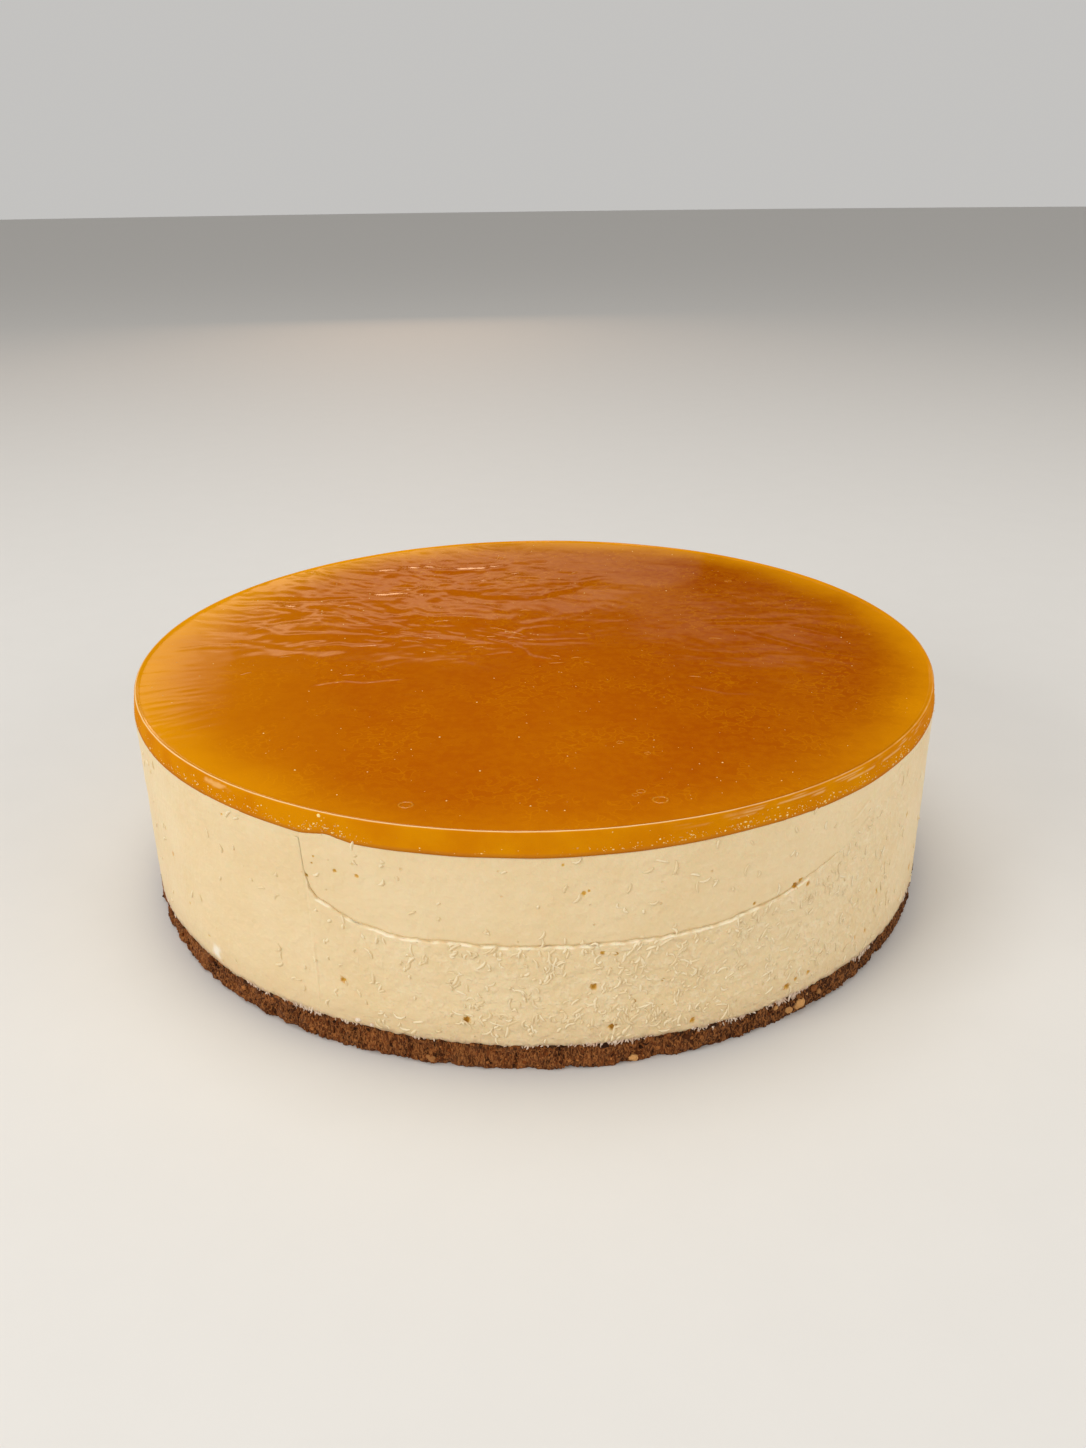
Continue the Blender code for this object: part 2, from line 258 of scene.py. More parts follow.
# Narrow folds that catch the light: the middle in millimetres, length, turn in degrees from +X and bend.
TOP_FOLDS = (
    (-10.6, 13.4, 6.5, -24, 0.5),
    (-6.0, 10.5, 7.5, -28, -0.6),
    (-12.5, 7.2, 3.4, 0, 0.1),
    (-5.6, 5.4, 5.6, -4, 0.2),
    (-0.9, 3.6, 3.0, -8, 0.2),
    (-15.5, -1.6, 4.6, -3, 0.4),
    (13.6, 8.6, 2.8, -10, 0.1),
    (5.8, -9.4, 3.0, -24, 0.2),
    (6.2, -14.4, 5.0, 8, -0.4),
    (11.6, -11.0, 3.0, 10, 0.2),
    (14.5, -14.5, 1.8, 0, 0.1),
    (-34.0, 2.8, 4.0, -12, 0.3),
    (-29.0, -4.5, 3.6, -20, -0.2),
    (-38.0, 14.0, 5.0, 10, 0.5),
    (-44.5, 11.0, 3.2, 24, 0.2),
    (-28.0, 20.5, 5.4, 6, 0.6),
    (-20.0, 24.0, 4.6, -6, 0.3),
    (-52.0, 20.0, 4.4, 14, -0.3),
    (-60.0, 36.0, 5.0, 20, 0.4),
    (-14.0, 37.0, 5.2, -8, 0.4),
    (-3.0, 30.0, 4.8, 12, 0.4),
    (13.0, 68.0, 5.0, 40, 0.4),
    (-81.0, 16.0, 6.0, 18, 0.6),
    (-86.0, 3.0, 4.4, 10, 0.3),
    (-70.0, -8.0, 4.0, 20, 0.3),
    (-50.0, -22.0, 3.4, 8, 0.2),
    (-78.0, -20.0, 3.6, 30, 0.2),
    (43.0, -26.0, 3.8, -12, 0.2),
    (52.0, 3.0, 4.0, -8, 0.3),
)

# Burst bubbles on the top: the middle of each and half the width of its ring, in millimetres.
TOP_BLISTERS = (
    (-27.1, -96.4, 1.5),
    (27.0, -95.5, 1.6),
    (23.2, -91.4, 0.9),
    (26.2, -72.5, 0.7),
    (20.3, -66.4, 0.8),
    (21.8, -93.0, 0.7),
    (64.0, 58.0, 1.1),
    (-12.0, 88.0, 1.2),
)

# Bright bubbles in the side of the jelly: azimuth, then height and width in millimetres.
SPARKS = (
    (-24.3, 59.6, 1.2),
    (-23.6, 59.3, 0.7),
    (-25.1, 59.1, 0.6),
    (-20.4, 58.8, 0.5),
    (18.6, 56.6, 0.6),
)

# Where the fine specks crowd in the side of the jelly: the azimuth and how widely they spread from it.
SPECK_CROWDS = ((42, 16), (30, 14), (22, 18), (-25, 4), (-36, 9), (150, 40), (250, 30))

# The seed that the random draws start from.
SEED = 7

# Colours of single places, which the settings' colours are blended with.
# Painted shade on the crumb and its grains, deeper towards the right of the front.
SHADE_ON_CRUMB = (0.05, 0.017, 0.006)
SHADE_ON_GRAIN = (0.07, 0.024, 0.008)
PALE_CHIP = (0.66, 0.34, 0.12)
# Painted shade on the cream near the crumb.
SHADE_LOW_ON_CREAM = (0.60, 0.42, 0.22)
PALE_SMEAR = (0.90, 0.84, 0.72)
# Painted shadow beside each ridge.
SHADED_RIDGE = (0.73, 0.54, 0.285)
DEEP_STRAND = (0.60, 0.40, 0.28)
PALE_STRAND = (0.82, 0.68, 0.54)
PALER_SIDE = (0.64, 0.235, 0.001)
JELLY_FOOT = (0.42, 0.13, 0.02)
SCUFFED_JELLY = (0.80, 0.42, 0.13)
# Painted highlight on the crest of the lip and in lines along the side.
LIP_HIGHLIGHT = (0.98, 0.78, 0.42)
FLOOR_GRAIN = (0.70, 0.68, 0.65)

# The softboxes round the cake: name, place, size, the setting for the brightness, tint, and whether the
# gloss of the jelly mirrors it.
LAMPS = (
    ("key_left", (-1.05, -0.75, 0.6), (0.7, 0.6), "key", (1.0, 1.0, 0.98), False),
    ("fill_right", (1.1, -0.6, 0.5), (0.9, 0.8), "fill", (1.0, 0.98, 0.94), False),
    ("top", (-0.15, 0.1, 1.3), (0.9, 0.9), "top", (1.0, 0.99, 0.97), True),
)

# Softboxes behind the cake that show in the gloss of the jelly: the spot where the camera sees each
# mirrored and its width and depth there, in millimetres, and its share of the brightness. The last stands
# so low that only the folds mirror it.
WINDOWS = (
    ("window_wide", (-30, 66), (175, 108), 0.30),
    ("window_middle", (-52, 54), (112, 52), 0.48),
    ("window_back", (-8, 92), (90, 40), 0.15),
    ("window_left", (-106, 6), (34, 124), 0.37),
    ("window_left_rim", (-109, 2), (24, 110), 0.36),
    ("window_far_left", (-90, 46), (46, 66), 0.38),
    ("window_right", (57, 14), (56, 26), 0.36),
    ("window_far_right", (77, -8), (34, 13), 0.40),
    ("window_top_right", (22, 62), (50, 26), 0.35),
    ("window_low", (-65, 319), (170, 183), 3.0),
)
WINDOW_DISTANCE = 1.3
WINDOW_TINT = (1.0, 0.66, 0.40)

# The camera that was fitted to the photo, with its pitch down and its roll in degrees.
CAMERA_PLACE = (2.2 * MM, -318.4 * MM, 178.4 * MM)
CAMERA_PITCH = 24.226
CAMERA_ROLL = -0.70
SENSOR_WIDTH = 36


def count_setting(name, description, default):
    return IntProperty(name=name, description=description, default=default)


def number_setting(name, description, default):
    return FloatProperty(name=name, description=description, default=default)


def length_setting(name, description, default):
    return FloatProperty(name=name, description=description, default=default, unit="LENGTH")


def colour_setting(name, description, default):
    return FloatVectorProperty(name=name, description=description, default=default, subtype="COLOR")


class CrustSettings(bpy.types.PropertyGroup):
    """The crumb base."""

    grains: count_setting("Grains", "Small crumbs that stand out of the side", 4600)
    largest_grain: length_setting("Largest grain", "Width of the largest small crumb", 1.2 * MM)
    lumps: count_setting("Lumps", "Large crumbs round the foot and the side", 90)
    dark: colour_setting("Dark crumb", "Colour in the pits", (0.03, 0.010, 0.004))
    brown: colour_setting("Crumb", "Main colour of the crumb", (0.205, 0.054, 0.011))
    light: colour_setting("Light crumb", "Colour of the palest bits", (0.44, 0.165, 0.045))


class FillingSettings(bpy.types.PropertyGroup):
    """The two batches of filling."""

    ledge: length_setting("Ledge", "How far the first batch stands out", 0.4 * MM)
    crease: length_setting("Crease", "Depth of the crease over the ledge", 0.3 * MM)
    dimples: length_setting("Dimples", "Height of the soft dimples in smeared cream", 0.15 * MM)
    fringe: length_setting("Fringe", "Length of the points on the lower edge", 0.5 * MM)
    cream: colour_setting("Cream", "Main colour of the filling", (0.80, 0.625, 0.37))
    shade: colour_setting("Cream in the shade", "Deeper tint in patches", (0.77, 0.58, 0.32))
    pit: colour_setting("Bubble", "Colour inside the open bubbles", (0.68, 0.37, 0.05))
    # The crest colour paints highlights on ridges, smears and the ledge's edge; the colour after it paints
    # shade in the crease over the ledge and in sunk marks.
    crest: colour_setting("Crest", "Colour of smeared ridges and thin edges", (0.96, 0.86, 0.64))
    crease_shade: colour_setting("Crevice", "Colour in the crease over the ledge", (0.52, 0.34, 0.13))
    stain: colour_setting("Stain", "Colour of the lower edge, stained by crumb", (0.50, 0.33, 0.22))
    teeth: count_setting("Strands", "Strands dragged down over the crumb", 1000)
    # Each ridge also gets a darker copy as its painted shadow.
    ridges: count_setting("Ridges", "Short ridges of smeared cream on the first batch", 1500)


class JellySettings(bpy.types.PropertyGroup):
    """The jelly sheet and what is caught in it."""

    lip_height: length_setting("Lip height", "Rise of the lip at the rim", 0.35 * MM)
    lip_width: length_setting("Lip width", "Width of the lip at the rim", 2.0 * MM)
    wrinkle: length_setting("Wrinkles", "Height of the wrinkles at the back left", 0.19 * MM)
    specks: count_setting("Specks", "Tiny bubbles on the top", 420)
    side_specks: count_setting("Side specks", "Tiny bubbles in the side", 1300)
    deep: colour_setting("Deep amber", "Colour at the front left", (0.42, 0.087, 0.0005))
    deepest: colour_setting("Deepest amber", "Colour at the right", (0.335, 0.060, 0.0004))
    # The golden colour also paints the glow near the rim.
    golden: colour_setting("Golden amber", "Colour near the rim", (0.75, 0.295, 0.001))
    side: colour_setting("Side amber", "Colour of the side", (0.58, 0.185, 0.0008))
    bubble: colour_setting("Trapped bubble", "Colour of the specks", (0.95, 0.72, 0.28))


class StageSettings(bpy.types.PropertyGroup):
    """The floor, the lights and the camera."""

    floor: colour_setting("Floor", "Colour of the floor", (0.72, 0.70, 0.67))
    ambient: number_setting("Ambient", "Strength of the light all round", 0.55)
    key: number_setting("Key", "Brightness of the softbox at the left", 6.7)
    fill: number_setting("Fill", "Brightness of the softbox at the right", 2.5)
    top: number_setting("Top", "Brightness of the softbox overhead", 2.4)
    window: number_setting("Window", "Brightness of the softboxes behind", 1.0)
    lens: number_setting("Lens", "Focal length in millimetres", 29.456)


class CheesecakeSettings(bpy.types.PropertyGroup):
    """All that can be changed about the cake."""

    crust: PointerProperty(type=CrustSettings)
    filling: PointerProperty(type=FillingSettings)
    jelly: PointerProperty(type=JellySettings)
    stage: PointerProperty(type=StageSettings)


def blend(value, start, end):
    """0 at start, 1 at end, and a smooth rise between them."""
    share = min(max((value - start) / (end - start), 0), 1)
    return share * share * (3 - 2 * share)


def ripple(azimuth, waves, seed):
    """A smooth value from about -1 to 1 that rises and falls about that many times round the cake."""
    reach = waves / math.tau
    return 1.5 * noise.noise(Vector((reach * math.cos(azimuth), reach * math.sin(azimuth), seed)))


def ripples(azimuth, layers):
    return sum(depth * ripple(azimuth, waves, seed) for depth, waves, seed in layers)


def turn_from(azimuth, degrees):
    """How many degrees azimuth, in radians, lies to the right of a place given in degrees."""
    return (math.degrees(azimuth) - degrees + 180) % 360 - 180


def base_wander(azimuth):
    """How far the top of the crumb base is above or below its mean."""
    return ripples(azimuth, BASE_TOP_RIPPLES) - BASE_TOP_SWING * math.sin(2 * azimuth)


def jelly_wander(azimuth):
    """How far the bottom of the jelly is above or below its mean."""
    turn = abs(turn_from(azimuth, FILLING_RISE["azimuth"]))
    rise = FILLING_RISE["height"] * blend(turn, FILLING_RISE["half_width"], 0)
    return ripples(azimuth, JELLY_BOTTOM_RIPPLES) - JELLY_BOTTOM_SWING * math.cos(2 * azimuth) + rise


def height_along(line, turn):
    """The height at a turn in degrees on a line of (azimuth, height), with straight lines in between."""
    for (first, low), (last, high) in zip(line, line[1:]):
        if turn <= last:
            return low + (high - low) * (turn - first) / (last - first)
    return line[-1][1]


@functools.lru_cache(maxsize=None)
def seam_at(azimuth):
    """What seam_height works out, kept for the next point at that azimuth."""
    found = FILLING_TOP - SEAM_HEADROOM
    for line in (FRONT_BOWL, RIGHT_BOWL, LEFT_BOWL):
        start = line[0][0]
        turn = start + (math.degrees(azimuth) - start) % 360
        if turn < line[-1][0]:
            found = min(found, height_along(line, turn) * MM)
    return found + ripples(azimuth, SEAM_RIPPLES)


def seam_height(azimuth):
    """The height of the ledge in the filling: the bowl there, or just under the jelly if none."""
    return seam_at(round(azimuth, 4))


def over_seam(azimuth, height):
    """How far a point of the wall lies from the ledge, square to it: above it is more than 0."""
    step = 0.003
    slope = (seam_height(azimuth + step) - seam_height(azimuth - step)) / (2 * step * RIM)
    return (height - seam_height(azimuth)) / math.hypot(1, slope)


def seam_strength(azimuth):
    """1 where the ledge shows and 0 where it has run out, with a faint rest at its steep left end."""
    away = abs(turn_from(azimuth, SEAM_REST["azimuth"]))
    rest = SEAM_REST["strength"] * blend(away, SEAM_REST["reach"], SEAM_REST["full"])
    fades = SEAM_FADES["right" if turn_from(azimuth, 0) > 0 else "left"]
    return max(rest, 1 - blend(seam_height(azimuth), *fades))


def near_rim(radius):
    """1 at the rim and 0 from LEVEL_INSIDE inwards."""
    return blend(radius, LEVEL_INSIDE, RIM)


def on_side(azimuth, radius, height):
    """The point at a radius, an azimuth and a height."""
    return Vector((radius * math.sin(azimuth), -radius * math.cos(azimuth), height))


def around(point):
    """The radius and the azimuth of a point."""
    return point.xy.length, math.atan2(point.x, -point.y)


def wandering_ridges(spot, span, width, seed):
    """Short wandering ridges, 1 on their crests: where one noise is near zero and another is high."""
    line = 1 - min(abs(noise.noise(spot / span)) / width, 1)
    kept = blend(noise.noise(spot / (1.3 * span) + Vector((seed, 0, 0))), -0.05, 0.3)
    return line * kept


def nearness(x, y, line, half_width):
    """1 on a line of (x, y) points, fading to 0 at half_width beside it and thinning towards its ends."""
    best = 0
    for number, ((ax, ay), (bx, by)) in enumerate(zip(line, line[1:])):
        along_x, along_y = bx - ax, by - ay
        length = math.hypot(along_x, along_y)
        share = min(max(((x - ax) * along_x + (y - ay) * along_y) / length**2, 0), 1)
        away = math.hypot(x - ax - share * along_x, y - ay - share * along_y)
        if away < half_width:
            done = (number + share) / (len(line) - 1)
            best = max(best, blend(away, half_width, 0) * min(1, 0.25 + 4 * done * (1 - done)))
    return best


def turned(profile, steps):
    """A bmesh turned about +Z from (radius, height) pairs that run from the axis to the axis."""
    shape = bmesh.new()
    points = [shape.verts.new((0, -radius, height)) for radius, height in profile]
    edges = [shape.edges.new(pair) for pair in zip(points, points[1:])]
    bmesh.ops.spin(
        shape,
        geom=points + edges,
        cent=(0, 0, 0),
        axis=(0, 0, 1),
        angle=math.tau,
        steps=steps,
        use_merge=True,
    )
    bmesh.ops.remove_doubles(shape, verts=shape.verts, dist=WELD)
    bmesh.ops.recalc_face_normals(shape, faces=shape.faces)
    return shape


def refine(shape, chosen, cuts):
    """Cuts every edge whose two ends are chosen into finer ones, and the faces between them with it."""
    edges = [edge for edge in shape.edges if all(chosen(point.co) for point in edge.verts)]
    bmesh.ops.subdivide_edges(shape, edges=edges, cuts=cuts, use_grid_fill=True)


def new_marks(shape, *names):
    """New attributes on the points of a bmesh, which its finish reads by name."""
    for name in names:
        shape.verts.layers.float.new(name)
    return [shape.verts.layers.float[name] for name in names]


def add_piece(name, shape):
    """A new object in the scene made from a bmesh, which is freed. One of that name is replaced."""
    old = bpy.data.objects.get(name)
    if old:
        bpy.data.objects.remove(old)
    mesh = bpy.data.meshes.new(name)
    shape.to_mesh(mesh)
    shape.free()
    piece = bpy.data.objects.new(name, mesh)
    bpy.context.scene.collection.objects.link(piece)
    return piece


def hand_over(piece, finish, node):
    """Gives a finished piece its material and ties it to the solid that it stands for."""
    piece.data.materials.clear()
    piece.data.materials.append(finish)
    piece.data.shade_smooth()
    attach(piece, "root")
    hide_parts(node)


def scattered(name, lump, places, tones, draw, knocked=(0.75, 1.15)):
    """One mesh of many lumps, from an array: each copy is knocked out of shape and put at its place."""
    piece = add_piece(name, lump)
    size = len(piece.data.vertices)
    array = piece.modifiers.new("Array", "ARRAY")
    array.count = len(places)
    array.use_relative_offset = False
    array.use_constant_offset = True
    array.constant_offset_displace = (0, 0, 0)
    graph = bpy.context.evaluated_depsgraph_get()
    mesh = bpy.data.meshes.new_from_object(piece.evaluated_get(graph))
    piece.modifiers.remove(array)
    piece.data = mesh
    tone = mesh.attributes.new("tone", "FLOAT", "POINT")
    for number, place in enumerate(places):
        for index in range(number * size, (number + 1) * size):
            mesh.vertices[index].co = place(mesh.vertices[index].co * draw.uniform(*knocked))
            tone.data[index].value = tones[number]
    return piece


def ball(detail):
    shape = bmesh.new()
    bmesh.ops.create_icosphere(shape, subdivisions=detail, radius=0.5)
    return shape


def capsule():
    """A lump a millimetre long and wide with few faces, its poles at the ends of its own X."""
    shape = bmesh.new()
    lying = Matrix.Rotation(math.pi / 2, 4, "Y")
    bmesh.ops.create_uvsphere(shape, u_segments=5, v_segments=5, radius=0.5, matrix=lying)
    return shape


def lying_at(place, size, azimuth, spin=0):
    """Scales a lump, turns its own X along the rim there, and puts it at place."""
    turn = Matrix.Rotation(azimuth, 4, "Z") @ Matrix.Rotation(spin, 4, "Y")
    matrix = Matrix.Translation(place) @ turn @ Matrix.Diagonal((*size, 1))
    return lambda point: matrix @ point


def bent_on_wall(azimuth, radius, height, size, lean, bend):
    """Puts a lump on the wall with its own X leaning by an angle from level, and bends it sideways."""
    length, depth, width = size

    def place(point):
        along = length * point.x
        aside = width * point.z + bend * (1 - 4 * point.x * point.x)
        level = math.cos(lean) * along - math.sin(lean) * aside
        upright = math.sin(lean) * along + math.cos(lean) * aside
        return on_side(azimuth + level / RIM, radius + depth * point.y, height + upright)

    return place


def bent_on_top(x, y, size, turn, bend, skin):
    """Puts a lump on the skin of the jelly with its own X at an angle from +X, and bends it sideways."""
    length, width, depth = size

    def place(point):
        along = length * point.x
        aside = width * point.y + bend * (1 - 4 * point.x * point.x)
        right = x + math.cos(turn) * along - math.sin(turn) * aside
        back = y + math.sin(turn) * along + math.cos(turn) * aside
        return Vector((right, back, skin(right, back) + depth * point.z))

    return place


class Finish:
    """A procedural material on object coordinates, built up from the shader backwards."""

    def __init__(self, name):
        old = bpy.data.materials.get(name)
        if old:
            bpy.data.materials.remove(old)
        self.material = bpy.data.materials.new(name)
        self.material.use_nodes = True
        self.tree = self.material.node_tree
        self.shader = self.tree.nodes["Principled BSDF"]
        self.place = self.tree.nodes.new("ShaderNodeTexCoord").outputs["Object"]

    def put(self, socket, value):
        """Links an output to a socket, or sets the socket to a number, a vector or a colour."""
        if isinstance(value, bpy.types.NodeSocket):
            self.tree.links.new(value, socket)
        elif socket.type == "RGBA":
            socket.default_value = (*value[:3], 1)
        else:
            socket.default_value = value

    def node(self, kind, **values):
        """A new node, with a value for each input that is named."""
        made = self.tree.nodes.new("ShaderNode" + kind)
        for name, value in values.items():
            self.put(made.inputs[name], value)
        return made

    def noise(self, scale, detail=3.0, roughness=0.55, place=None):
        """A noise about 0.5 with as many cells in a metre as its scale."""
        place = place or self.place
        node = self.node("TexNoise", Vector=place, Scale=scale, Detail=detail, Roughness=roughness)
        return node.outputs["Fac"]

    def stretched(self, squeeze):
        """Object coordinates with the height scaled down, so that a noise on them runs upright."""
        return self.node("Mapping", Vector=self.place, Scale=(1, 1, squeeze)).outputs["Vector"]

    def cells(self, scale):
        """How far the middle of the nearest cell is, and that cell's own colour."""
        node = self.node("TexVoronoi", Vector=self.place, Scale=scale)
        return node.outputs["Distance"], node.outputs["Color"]

    def attribute(self, name):
        node = self.node("Attribute")
        node.attribute_name = name
        return node.outputs["Fac"]

    def math(self, operation, first, second=0.0):
        node = self.node("Math")
        node.operation = operation
        self.put(node.inputs[0], first)
        self.put(node.inputs[1], second)
        return node.outputs[0]

    def range(self, value, low, high, out_low=0.0, out_high=1.0):
        """Maps low to high onto out_low to out_high, smoothly, and holds it there."""
        ends = {"From Min": low, "From Max": high, "To Min": out_low, "To Max": out_high}
        node = self.node("MapRange", Value=value, **ends)
        node.interpolation_type = "SMOOTHSTEP"
        return node.outputs["Result"]

    def mix(self, share, first, second, most=1.0):
        """The first colour where share is 0, and as much as most of the second where it is 1."""
        node = self.node("Mix")
        node.data_type = "RGBA"
        if most < 1:
            share = self.math("MULTIPLY", share, most)
        for number, value in {0: share, 6: first, 7: second}.items():
            self.put(node.inputs[number], value)
        return node.outputs[2]

    def split(self):
        return self.node("SeparateXYZ", Vector=self.place).outputs

    def distance_from_axis(self):
        """The radius of the shaded point, in metres."""
        place = self.split()
        squares = [self.math("POWER", place[axis], 2.0) for axis in "XY"]
        return self.math("SQRT", self.math("ADD", *squares))

    def towards(self, degrees):
        """How far the shaded point lies from the middle towards an azimuth, in metres."""
        place = self.split()
        turn = math.radians(degrees)
        right = self.math("MULTIPLY", place["X"], math.sin(turn))
        back = self.math("MULTIPLY", place["Y"], -math.cos(turn))
        return self.math("ADD", right, back)

    def bump(self, height, distance, strength=1.0, over=None):
        """The normal of a relief, laid over another normal if one is given."""
        node = self.node("Bump", Height=height, Distance=distance, Strength=strength)
        if over:
            self.put(node.inputs["Normal"], over)
        return node.outputs["Normal"]

    def ridges(self, scale, width, place=None):
        """Thin wandering ridges, 1 on their crests."""
        away = self.math("ABSOLUTE", self.math("SUBTRACT", self.noise(scale, 1.0, 0.5, place), 0.5))
        return self.range(away, 0.0, width, 1.0, 0.0)

    def set(self, **inputs):
        """Sets the shader's inputs and gives back the material."""
        for name, value in inputs.items():
            self.put(self.shader.inputs[name.replace("_", " ").title().replace("Ior", "IOR")], value)
        return self.material


def shaded_towards_right(finish, base, colour, most):
    """A crumb's colour darkened by painted shade towards the right of the front, by as much as most."""
    painted_shade = finish.range(finish.towards(52), 82 * MM, 106 * MM, 0.0, most)
    return finish.mix(painted_shade, base, colour)


def crumb_finish(settings):
    """Baked crumb: brown in patches, thin upright fibres with dark gaps, painted glints, a painted
    highlight on its proud ribs, painted shade near black in the pits and a painted shadow under the
    filling.
    """
    finish = Finish("biscuit_crumb")
    brown, dark, light = settings.brown, settings.dark, settings.light
    patches = finish.range(finish.noise(170, 4.0, 0.6), 0.35, 0.7)
    base = finish.mix(patches, brown, [0.55 * part for part in brown])
    baked = finish.range(finish.noise(110, 2.0), 0.52, 0.7, 0.0, 0.4)
    # Painted shade towards the right of the front.
    base = shaded_towards_right(finish, finish.mix(baked, base, light), SHADE_ON_CRUMB, 0.85)
    proud = finish.attribute("proud")
    # Painted light from the relief: lighter on the proud ribs, painted shade in the pits.
    base = finish.mix(finish.range(proud, 0.25, 0.95), base, light, 0.35)
    base = finish.mix(finish.range(proud, 0.1, -0.6), base, dark, 0.7)
    upright = finish.stretched(0.3)
    gaps = finish.ridges(1100, 0.09, upright)
    fibres = finish.ridges(1700, 0.11, upright)
    base = finish.mix(gaps, base, dark, 0.6)
    base = finish.mix(fibres, base, light, 0.75)
    # Painted shadow under the filling's overhang.
    base = finish.mix(finish.attribute("shadow_under_filling"), base, dark)
    grit = finish.range(finish.noise(1900, 3.0, 0.7), 0.55, 0.7)
    base = finish.mix(grit, base, dark, 0.3)
    # Painted highlight: small glints on the crumb.
    glints = finish.range(finish.noise(1400, 2.0, 0.7), 0.6, 0.7)
    base = finish.mix(glints, base, light, 0.6)
    rough = finish.bump(finish.noise(1500, 4.0, 0.7), 0.5 * MM)
    fine = finish.bump(finish.math("SUBTRACT", fibres, gaps), 0.12 * MM, 0.9, over=rough)
    return finish.set(base_color=base, roughness=0.8, specular_ior_level=0.2, normal=fine)


def grain_finish(name, lightest, settings, darkest):
    """Grains that stand out of the crumb, each with a tone of its own, dark in specks by a share, which
    also sets their painted shade at the right of the front.
    """
    finish = Finish(name)
    tone = finish.attribute("tone")
    low = finish.mix(finish.range(tone, 0.0, 0.5), settings.dark, settings.brown)
    base = finish.mix(finish.range(tone, 0.5, 1.0), low, lightest)
    specks = finish.range(finish.noise(1700, 3.0, 0.7), 0.45, 0.75, 0.0, darkest)
    base = shaded_towards_right(finish, finish.mix(specks, base, settings.dark), SHADE_ON_GRAIN, darkest)
    rough = finish.bump(finish.noise(2600, 4.0, 0.7), 0.2 * MM, 0.9)
    return finish.set(base_color=base, roughness=0.85, specular_ior_level=0.15, normal=rough)


def cream_colour(finish, settings, smears, pinholes):
    """Cream with deeper patches, stained over the crumb and darkened low down by painted shade, with
    painted highlights and shade from its tint and smears, and amber in the open bubbles.
    """
    patches = finish.range(finish.noise(55, 3.0, 0.6), 0.3, 0.75)
    base = finish.mix(patches, settings.cream, settings.shade)
    # Smears are paler: partly pale cream and partly a painted highlight on their ridges.
    base = finish.mix(smears, base, settings.crest, 0.25)
    base = finish.mix(pinholes, base, settings.pit, 0.3)
    above_crumb = finish.attribute("above_crumb")
    ragged = finish.range(finish.noise(500, 3.0), 0.3, 0.7, -0.7, 0.7)
    stain = finish.range(finish.math("ADD", above_crumb, ragged), 1.3, -0.3)
    base = finish.mix(stain, base, settings.stain, 0.55)
    # Painted shade: the cream darkens over its lowest 8 mm, near the crumb.
    base = finish.mix(finish.range(above_crumb, 8.0, 0.0, 0.0, 0.35), base, SHADE_LOW_ON_CREAM)
    # The tint paints highlights in the crest colour and shade in the crease colour.
    tint = finish.attribute("tint")
    base = finish.mix(finish.range(tint, 0.0, 1.0, 0.0, 0.7), base, settings.crest)
    base = finish.mix(finish.range(tint, 0.0, -1.0, 0.0, 0.4), base, settings.crease_shade)
    base = finish.mix(finish.attribute("pale"), base, PALE_SMEAR)
    return finish.mix(finish.attribute("hollow"), base, settings.pit)


def cream_finish(name, settings, roughness):
    """Set cream with a slight sheen: faint smears, soft lumps and pinholes, most where it is rough."""
    finish = Finish(name)
    rough = finish.attribute("rough")
    kept = finish.range(finish.noise(520), 0.46, 0.6)
    smears = finish.math("MULTIPLY", finish.ridges(560, 0.17), kept)
    smears = finish.math("MULTIPLY", smears, finish.range(rough, 0.0, 1.0, 0.15, 1.0))
    distance, cell = finish.cells(330)
    size = finish.range(cell, 0.45, 0.9, 0.0, 0.11)
    pinholes = finish.range(finish.math("SUBTRACT", distance, size), 0.035, -0.02)
    lumps = finish.math("MULTIPLY", finish.noise(430, 2.5, 0.5), finish.range(rough, 0.0, 1.0, 0.4, 1.0))
    soft = finish.bump(lumps, 1.2 * MM, 0.8, over=finish.bump(smears, 0.1 * MM))
    pricked = finish.bump(finish.math("SUBTRACT", 1.0, pinholes), 0.2 * MM, 0.7, over=soft)
    return finish.set(
        base_color=cream_colour(finish, settings, smears, pinholes),
        roughness=roughness,
        specular_ior_level=0.35,
        subsurface_weight=0.12,
        subsurface_scale=0.8 * MM,
        normal=pricked,
    )


def ridge_finish(settings):
    """Ridges of smeared cream, paler than the wall as a painted highlight, and a darker copy beside each as
    its painted shadow.
    """
    finish = Finish("cream_ridges")
    tone = finish.attribute("tone")
    base = finish.mix(finish.range(tone, 0.0, 1.0, 0.0, 0.5), settings.cream, settings.crest)
    base = finish.mix(finish.range(tone, 0.0, -1.0), base, SHADED_RIDGE)
    return finish.set(base_color=base, roughness=0.42, specular_ior_level=0.4)


def strand_finish(settings):
    """Strands of cream, paler than the wall and stained a little by the crumb."""
    finish = Finish("cream_strands")
    base = finish.mix(finish.range(finish.attribute("tone"), 0.0, 1.0), DEEP_STRAND, PALE_STRAND)
    stained = finish.range(finish.noise(1200, 3.0), 0.45, 0.7, 0.0, 0.7)
    base = finish.mix(stained, base, settings.stain)
    return finish.set(base_color=base, roughness=0.5, normal=finish.bump(finish.noise(2200), 0.1 * MM, 0.6))


